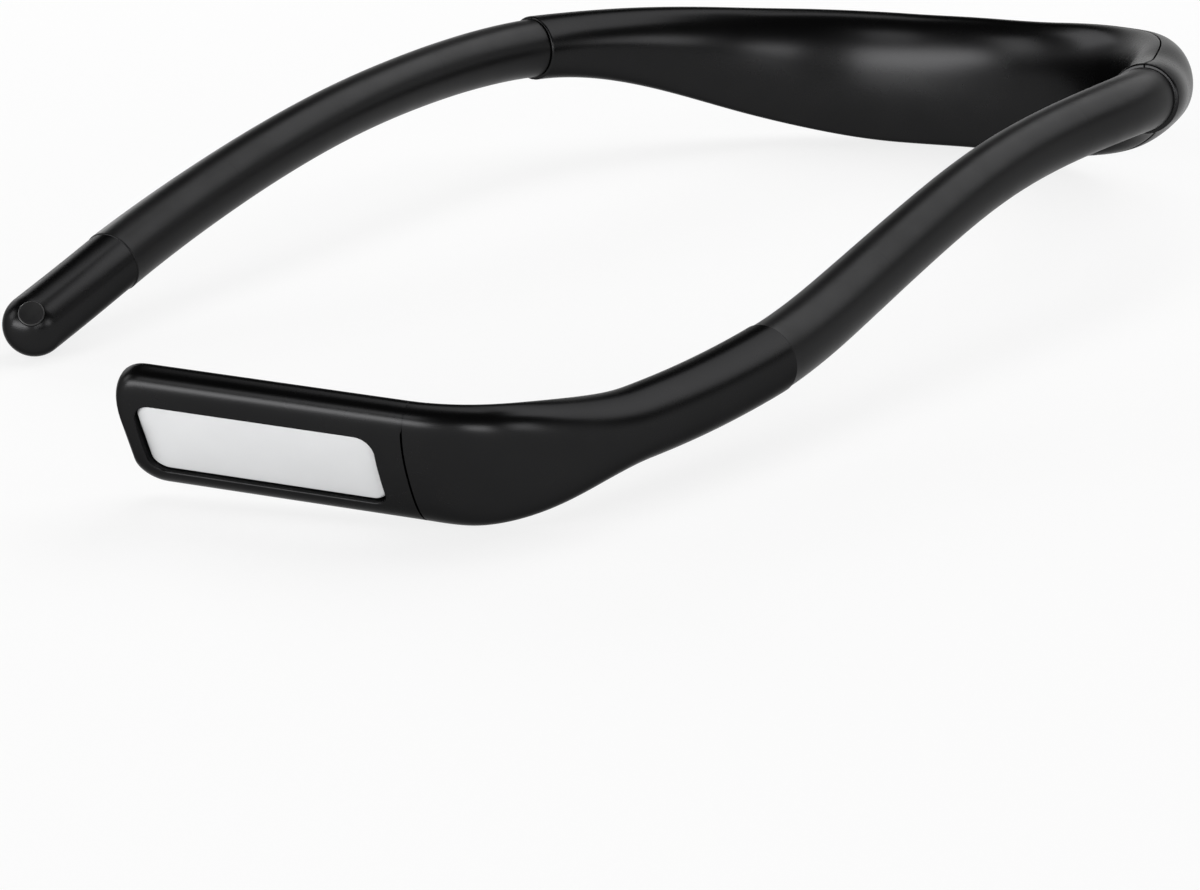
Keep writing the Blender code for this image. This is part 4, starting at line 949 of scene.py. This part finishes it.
def make_sleeves(arm):
    """Four lengths of sleeve, each round one of the arm's hinges."""
    last = BENDS_PER_ARM - 1
    for number in range(BENDS_PER_ARM):
        start = number * arm.bend_spacing + 0.5 * SKIN_GAP
        end = (number + 1) * arm.bend_spacing - 0.5 * SKIN_GAP
        if number == 0:
            start = 0.5 * SEAM_GAP
            if arm.side == "right":
                start = RIGHT_SKIN_REACH + start
        if number == last:
            end = arm.length - 0.5 * SEAM_GAP
        shape = sleeve_piece(arm, start, end, (number == 0, number == last))
        name = arm.side + "_sleeve_skin_" + str(number + 1)
        skin = make_skin(name, shape, "silicone")
        nodes = [arm.side + "_sleeve_flex_" + str(number + 1)]
        if number == 0:
            nodes.append(arm.side + "_sleeve_base")
        if number == last:
            nodes.append(arm.side + "_sleeve_tip")
        else:
            nodes.append(arm.side + "_sleeve_" + str(number + 1))
        bend = arm.bend(number)
        reach = (bend - BLEND_HALF_LENGTH, bend + BLEND_HALF_LENGTH)
        ends = in_frame([arm.at(x)[0] for x in reach])
        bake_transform(skin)
        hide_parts(*nodes)


# End cap


def cap_ring(along, radius):
    """A ring of the cap, with its points in step with the rings of its round tip."""
    point, forward, up, _ = ARMS["left"].at(along)
    return ring_at((point, forward, up, np.cross(forward, up)), radius, SHELL_SIDES)


def ball_rings(centre, axis, up, radius):
    """Rings of a half ball, from near its rim to near its tip."""
    angles = [QUARTER_TURN * i / (DOME_STEPS + 0.5) for i in range(1, DOME_STEPS + 1)]
    profile = [(radius * math.cos(a), radius * math.sin(a)) for a in angles]
    return turned(centre, axis, up, profile, SHELL_SIDES)


def button_place():
    """The middle of the cap's round tip, the way the button faces, and the way across it."""
    arm = ARMS["left"]
    centre, axis, _, _ = arm.at(arm.length + SEAMS["left_front"])
    line = unit(np.array(BUTTON_DIRECTION_SHARES))
    return centre, line, unit(np.cross(line, axis))


def make_cap():
    """The end cap, with its socket for the ferrule and its hole for the button."""
    arm = ARMS["left"]
    start = arm.length + 0.5 * SEAM_GAP
    tip = arm.length + SEAMS["left_front"]
    centre, axis, up, _ = arm.at(tip)
    socket_end = arm.length + FRONT_FERRULE_INSIDE + GAP
    rows = edged(start, tip, SEAM_ROUND, STATION_LENGTH, (True, False))
    outer = [cap_ring(x, CAP_RADIUS - inset) for x, inset in rows]
    outer += ball_rings(centre, axis, up, CAP_RADIUS)
    inner = [cap_ring(x, SOCKET_RADIUS) for x in spaced(start, socket_end, STATION_LENGTH)]
    hollow = spaced(socket_end + SOCKET_STEP, tip, STATION_LENGTH)
    inner += [cap_ring(x, CAP_INNER_RADIUS) for x in hollow]
    inner += ball_rings(centre, axis, up, CAP_INNER_RADIUS)
    skin = make_skin("end_cap_skin", loft(outer[::-1] + inner, "caps"), "gloss_shell")

    radius = BUTTON_RADIUS + BUTTON_EDGE_GAP
    rim = math.sqrt(CAP_RADIUS ** 2 - radius ** 2)
    profile = [(radius, 0.5 * CAP_INNER_RADIUS)]
    for distance, inset in edge_rows(SEAM_ROUND)[::-1]:
        profile.append((radius + distance, rim - inset))
    profile.append((radius + SEAM_ROUND, CAP_RADIUS + OVERRUN))
    cut(skin, [loft(turned(*button_place(), profile, SHELL_SIDES), "caps")])
    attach(skin, "left_cap")
    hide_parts("end_cap")


def make_button():
    """The button, a little dished, with the flange that keeps it in the cap."""
    flange_radius = BUTTON_RADIUS + BUTTON_FLANGE
    flange_top = math.sqrt(CAP_INNER_RADIUS ** 2 - flange_radius ** 2) - GAP
    top = CAP_RADIUS - BUTTON_SINK
    face = BUTTON_RADIUS - BUTTON_ROUND
    shares = stepped(0.0, 1.0, PROFILE_STEPS)[1:]
    profile = [(face * share, top - BUTTON_DISH * (1.0 - share ** 2)) for share in shares]
    profile += [(BUTTON_RADIUS - inset, top - d) for d, inset in edge_rows(BUTTON_ROUND)[1:]]
    profile += [
        (BUTTON_RADIUS, flange_top),
        (flange_radius, flange_top),
        (flange_radius, flange_top - BUTTON_FLANGE_THICKNESS),
    ]
    shape = loft(turned(*button_place(), profile, SHELL_SIDES), "caps")
    button = make_skin("power_button_skin", shape, "button")
    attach(button, "power_button")
    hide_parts("power_button")


# Lamp neck


def tilted(up, out, tilt):
    """Up and out, turned about the route by a tilt."""
    rise = up * math.cos(tilt) + out * math.sin(tilt)
    face = out * math.cos(tilt) - up * math.sin(tilt)
    return rise, face


def head_side(height):
    """Half thickness and outline power of the head, in front or behind its middle plane."""
    if height > 0.0:
        return HEAD_FRONT_HALF_THICKNESS, HEAD_FRONT_POWER
    return HEAD_HALF_THICKNESS, HEAD_BACK_POWER


def neck_ring(distance, inset, bored):
    """One ring of the neck, from its shell at bored 0 to its round socket at bored 1."""
    point, _, up, out = ROUTE.at(SEAMS["right_front"] + distance)
    fade = smoothstep(NECK_FLATTEN_SHARE, 1.0, distance / NECK_LENGTH)
    half_up = mix(NECK_RADIUS, HEAD_HALF_HEIGHT, fade) - inset
    rise, face = tilted(up, out, HEAD_TILT * fade)
    ring = []
    for angle in round_turns(SHELL_SIDES):
        half_out, power = head_side(math.sin(angle))
        half_out = mix(NECK_RADIUS, half_out, fade) - inset
        shell = power_curve(angle, half_up, half_out, mix(ROUND_POWER, power, fade))
        socket = power_curve(angle, SOCKET_RADIUS, SOCKET_RADIUS, ROUND_POWER)
        a, b = between(shell, socket, bored)
        ring.append(point + rise * a + face * b)
    return ring


def make_neck():
    """The lamp's rigid neck, a tube from the sleeve to the head."""
    start = 0.5 * SEAM_GAP
    end = NECK_LENGTH - 0.5 * SEAM_GAP
    socket_end = FRONT_FERRULE_INSIDE + GAP
    rows = edged(start, end, SEAM_ROUND, STATION_LENGTH, (True, True))
    outer = [neck_ring(x, inset, 0.0) for x, inset in rows]
    inner = []
    for x, _ in rows:
        bored = 1.0 - smoothstep(socket_end, socket_end + SOCKET_STEP, x)
        inner.append(neck_ring(x, NECK_WALL, bored))
    skin = make_skin("neck_skin", loft(outer + inner[::-1], "loop"), "gloss_shell")
    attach(skin, "lamp")
    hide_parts("neck_shell")


# Lamp head


def plan_loop(near, far, low, high, near_corner, far_corner):
    """A rounded rectangle seen from the front of the head, as places along and up."""
    corners = (
        (near + near_corner, low + near_corner, near_corner, 180.0 * DEG),
        (far - far_corner, low + far_corner, far_corner, 270.0 * DEG),
        (far - far_corner, high - far_corner, far_corner, 0.0),
        (near + near_corner, high - near_corner, near_corner, 90.0 * DEG),
    )
    arcs = []
    for x, z, radius, start in corners:
        angles = stepped(start, start + QUARTER_TURN, CORNER_STEPS)
        arcs.append([(x + radius * math.cos(a), z + radius * math.sin(a)) for a in angles])
    loop = []
    for arc, following in zip(arcs, arcs[1:] + arcs[:1]):
        loop.extend(arc)
        shares = stepped(0.0, 1.0, SIDE_STEPS)[1:-1]
        loop.extend(between(arc[-1], following[0], share) for share in shares)
    return loop


def head_reach(height, inset):
    """Half height, far end and far corner of the head's outline at a height."""
    half_thickness, power = head_side(height)
    level = min(abs(height) / (half_thickness - inset), 1.0)
    share = (1.0 - level ** power) ** (1.0 / power)
    setback = HEAD_END_ROUNDING * (1.0 - math.sqrt(1.0 - level ** 2))
    corner = max(HEAD_CORNER - inset, HEAD_SEAM_CORNER) * share
    return (HEAD_HALF_HEIGHT - inset) * share, HEAD_LENGTH - inset - setback, corner, share


def head_loop(height, inset):
    """The head's outline at a height out of its middle plane, drawn in by an inset."""
    half, far, corner, share = head_reach(height, inset)
    near = 0.5 * SEAM_GAP + inset
    return height, plan_loop(near, far, -half, half, HEAD_SEAM_CORNER * share, corner)


def front_height(x, z):
    """How far the head's front stands out of its middle plane at a place of its plan."""
    low = 0.0
    high = HEAD_FRONT_HALF_THICKNESS
    for _ in range(HALVINGS):
        height = 0.5 * (low + high)
        half, far, corner, _ = head_reach(height, 0.0)
        past = max(x - far + corner, 0.0)
        over = max(abs(z) - half + corner, 0.0)
        if math.hypot(past, over) > corner:
            high = height
        else:
            low = height
    return low


def window_loop(height, grow):
    """The outline of the light window, or of what follows it, grown by an amount."""
    far = HEAD_LENGTH - WINDOW_TIP_MARGIN + grow
    near = far - WINDOW_LENGTH - 2.0 * grow
    half = 0.5 * WINDOW_HEIGHT + grow
    corner = max(WINDOW_CORNER + grow, HEAD_SEAM_CORNER)
    return height, plan_loop(near, far, WINDOW_LIFT - half, WINDOW_LIFT + half, corner, corner)


def place_loops(loops):
    """Turn loops of the head's plan into rings. A loop has one height, or one for each point."""
    point, along, up, out = ROUTE.at(SEAMS["head"])
    rise, face = tilted(up, out, HEAD_TILT)
    rings = []
    for height, loop in loops:
        heights = height if isinstance(height, list) else [height] * len(loop)
        rings.append([point + along * x + rise * z + face * h for (x, z), h in zip(loop, heights)])
    return rings


def profile_heights(start, end):
    """Heights from start to end of the rounded side, closer together near the end."""
    half, power = head_side(end)
    first = math.asin((abs(start) / half) ** (0.5 * power))
    last = math.asin((abs(end) / half) ** (0.5 * power))
    sign = math.copysign(1.0, end)
    angles = stepped(first, last, PROFILE_STEPS)
    return [sign * half * math.sin(angle) ** (2.0 / power) for angle in angles]


def make_rear_shell():
    """The head's rear shell, with a notch for the tongue that holds it to the neck."""
    parting = PARTING_HEIGHT - 0.5 * SEAM_GAP
    floor = -(HEAD_HALF_THICKNESS - HEAD_WALL) + HEAD_FLOOR_SINK
    flat = -HEAD_HALF_THICKNESS + HEAD_FLAT_SINK
    outer = [head_loop(height, 0.0) for height in profile_heights(0.0, flat)[::-1]]
    outer += [head_loop(height, 0.0) for height in stepped(0.0, parting, PARTING_STEPS)[1:]]
    inner = [head_loop(parting, HEAD_WALL)]
    inner += [head_loop(height, HEAD_WALL) for height in stepped(0.0, floor, FLOOR_STEPS)]
    shape = loft(place_loops(outer + inner), "caps")
    skin = make_skin("head_rear_skin", shape, "gloss_shell")
    bottom = -TONGUE_DROP - TONGUE_HALF_THICKNESS - GAP
    half = TONGUE_HALF_HEIGHT + GAP
    end = HEAD_WALL + OVERRUN
    plan = ((-OVERRUN, -half), (end, -half), (end, half), (-OVERRUN, half))
    cut(skin, [loft(place_loops([(bottom, plan), (HEAD_HALF_THICKNESS, plan)]), "caps")])
    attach(skin, "lamp")
    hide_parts("head_rear_shell")


def front_loop(loop):
    """A loop of the head's plan, laid on the head's rounded front."""
    return [front_height(x, z) for x, z in loop], loop


def make_front_frame():
    """The head's front frame, crowned from its parting line to the window's rounded rim."""
    parting = PARTING_HEIGHT + 0.5 * SEAM_GAP
    crown = CROWN_START_SHARE * HEAD_FRONT_HALF_THICKNESS
    loops = [head_loop(height, 0.0) for height in profile_heights(parting, crown)]
    start = loops[-1][1]
    rim_heights, rim = front_loop(window_loop(0.0, WINDOW_ROUND)[1])
    for share in stepped(0.0, 1.0, CROWN_STEPS)[1:-1]:
        loops.append(front_loop([between(a, b, share) for a, b in zip(start, rim)]))
    for distance, inset in edge_rows(WINDOW_ROUND)[::-1]:
        edge = window_loop(0.0, distance)[1]
        loops.append(([height - inset for height in rim_heights], edge))
    loops.append(window_loop(DIFFUSER_BACK, 0.0))
    loops.append(head_loop(DIFFUSER_BACK, HEAD_WALL))
    loops.append(head_loop(parting, HEAD_WALL))
    skin = make_skin("head_front_skin", loft(place_loops(loops), "loop"), "gloss_shell")
    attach(skin, "lamp")
    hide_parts("head_front_frame")


def make_diffuser():
    """The diffuser, with its rounded front edge just inside the window."""
    front_start = DIFFUSER_FRONT - DIFFUSER_ROUND
    loops = [window_loop(DIFFUSER_BACK, -GAP), window_loop(front_start, -DIFFUSER_EDGE_GAP)]
    for distance, inset in edge_rows(DIFFUSER_ROUND)[::-1][1:]:
        loops.append(window_loop(DIFFUSER_FRONT - distance, -DIFFUSER_EDGE_GAP - inset))
    shape = loft(place_loops(loops), "caps")
    skin = make_skin("diffuser_skin", shape, "diffuser")
    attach(skin, "lamp")
    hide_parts("diffuser")


# Studio, in metres

FLOOR_RADIUS = 6.0
FLOOR_SIDES = 96
FLOOR_COLOUR = (0.90, 0.90, 0.90, 1.0)
FLOOR_SHOWN_SHARE = 0.8
WHITE = (1.0, 1.0, 1.0, 1.0)
WHITE_LEVEL = 1.0
SKY_LEVEL = 0.08
SKY_START_SHARE = 0.12
SKY_END_SHARE = 0.40

# Each lamp: its name, the way to it from the object, its distance, width, height and watts
LAMPS = (
    ("low_front_softbox", (-0.24, -0.96, 0.16), 1.9, 2.0, 0.5, 28.0),
    ("low_right_softbox", (0.78, -0.61, 0.16), 1.9, 0.7, 0.5, 7.0),
    ("front_left_softbox", (-0.80, -0.46, 0.37), 1.9, 0.6, 0.6, 4.0),
    ("left_softbox", (-0.89, 0.33, 0.31), 1.9, 1.0, 0.7, 12.0),
    ("back_softbox", (0.23, 0.70, 0.68), 1.8, 1.9, 1.2, 20.0),
    ("right_softbox", (0.97, 0.03, 0.24), 1.9, 0.7, 0.5, 4.0),
    ("front_top_softbox", (-0.06, -0.83, 0.56), 1.9, 0.7, 0.5, 3.0),
    ("top_softbox", (-0.14, 0.24, 0.96), 1.8, 1.0, 0.7, 5.0),
)


def maths(tree, operation, first, second):
    """One number worked out from two."""
    node = add_node(tree, "Math", {0: first, 1: second})
    node.operation = operation
    return node.outputs["Value"]


def seen_share(tree, share):
    """A share for rays from the camera and for what shines or shines through, else zero."""
    path = tree.nodes.new("ShaderNodeLightPath")
    seen = path.outputs["Is Camera Ray"]
    for name in ("Is Glossy Ray", "Is Transmission Ray"):
        seen = maths(tree, "MAXIMUM", seen, path.outputs[name])
    return maths(tree, "MULTIPLY", seen, share)


def make_floor():
    """A pale floor that shows white and keeps the object's shadow."""
    turns = round_turns(FLOOR_SIDES)
    ring = [(FLOOR_RADIUS * math.cos(a), FLOOR_RADIUS * math.sin(a), 0.0) for a in turns]
    mesh = bpy.data.meshes.new("floor")
    mesh.from_pydata(ring, [], [tuple(range(FLOOR_SIDES))])
    floor = add_object("floor", mesh)
    material = bpy.data.materials.new("floor_white")
    material.use_nodes = True
    tree = material.node_tree
    tree.nodes.clear()
    plain = add_node(tree, "BsdfDiffuse", {"Color": FLOOR_COLOUR})
    shown = add_node(tree, "Emission", {"Color": WHITE, "Strength": WHITE_LEVEL})
    share = seen_share(tree, FLOOR_SHOWN_SHARE)
    surfaces = {0: share, 1: plain.outputs["BSDF"], 2: shown.outputs["Emission"]}
    surface = add_node(tree, "MixShader", surfaces)
    add_node(tree, "OutputMaterial", {"Surface": surface.outputs["Shader"]})
    mesh.materials.append(material)


def make_world():
    """A studio that is white at the horizon and dims towards its ceiling."""
    world = bpy.data.worlds.new("studio")
    bpy.context.scene.world = world
    world.use_nodes = True
    tree = world.node_tree
    tree.nodes.clear()
    place = tree.nodes.new("ShaderNodeTexCoord").outputs["Generated"]
    parts = add_node(tree, "SeparateXYZ", {"Vector": place})
    level = add_node(tree, "MapRange", {
        "Value": parts.outputs["Z"],
        "From Min": SKY_START_SHARE,
        "From Max": SKY_END_SHARE,
        "To Min": WHITE_LEVEL,
        "To Max": SKY_LEVEL,
    })
    level.interpolation_type = "SMOOTHSTEP"
    light = add_node(tree, "Background", {"Color": WHITE, "Strength": level.outputs["Result"]})
    add_node(tree, "OutputWorld", {"Surface": light.outputs["Background"]})


def make_lamps(middle):
    """Softboxes round the object, each facing its middle."""
    for name, way, distance, width, height, watts in LAMPS:
        data = bpy.data.lights.new(name, "AREA")
        data.shape = "RECTANGLE"
        data.size = width
        data.size_y = height
        data.energy = watts
        lamp = add_object(name, data)
        direction = Vector(way).normalized()
        lamp.location = middle + direction * distance
        lamp.rotation_euler = direction.to_track_quat("Z", "Y").to_euler()


def make_camera():
    """The camera at the photograph's angle."""
    forward = FRAME_TURN @ unit(np.array(CAMERA_FORWARD_SHARES))
    down = FRAME_TURN @ np.array(CAMERA_DOWN_SHARES)
    up = unit(-down + forward * np.dot(down, forward))
    right = np.cross(forward, up)
    data = bpy.data.cameras.new("camera")
    data.lens = CAMERA_LENS
    data.sensor_width = CAMERA_SENSOR
    data.sensor_fit = "HORIZONTAL"
    camera = add_object("camera", data)
    turn = Matrix(np.column_stack((right, up, -forward)).tolist())
    camera.matrix_world = Matrix.Translation(in_frame(CAMERA_PLACE)) @ turn.to_4x4()
    bpy.context.scene.camera = camera


def make_studio():
    """The floor, the world, the lamps and the camera."""
    low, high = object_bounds()
    middle = 0.5 * (Vector(low) + Vector(high))
    make_floor()
    make_world()
    make_lamps(middle)
    make_camera()
    bpy.context.scene.view_settings.view_transform = "Standard"


def main():
    """Dress the model."""
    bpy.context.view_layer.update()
    dress_nodes()
    make_housing()
    for arm in ARMS.values():
        make_sleeves(arm)
    make_cap()
    make_button()
    make_neck()
    make_rear_shell()
    make_front_frame()
    make_diffuser()
    make_studio()


main()
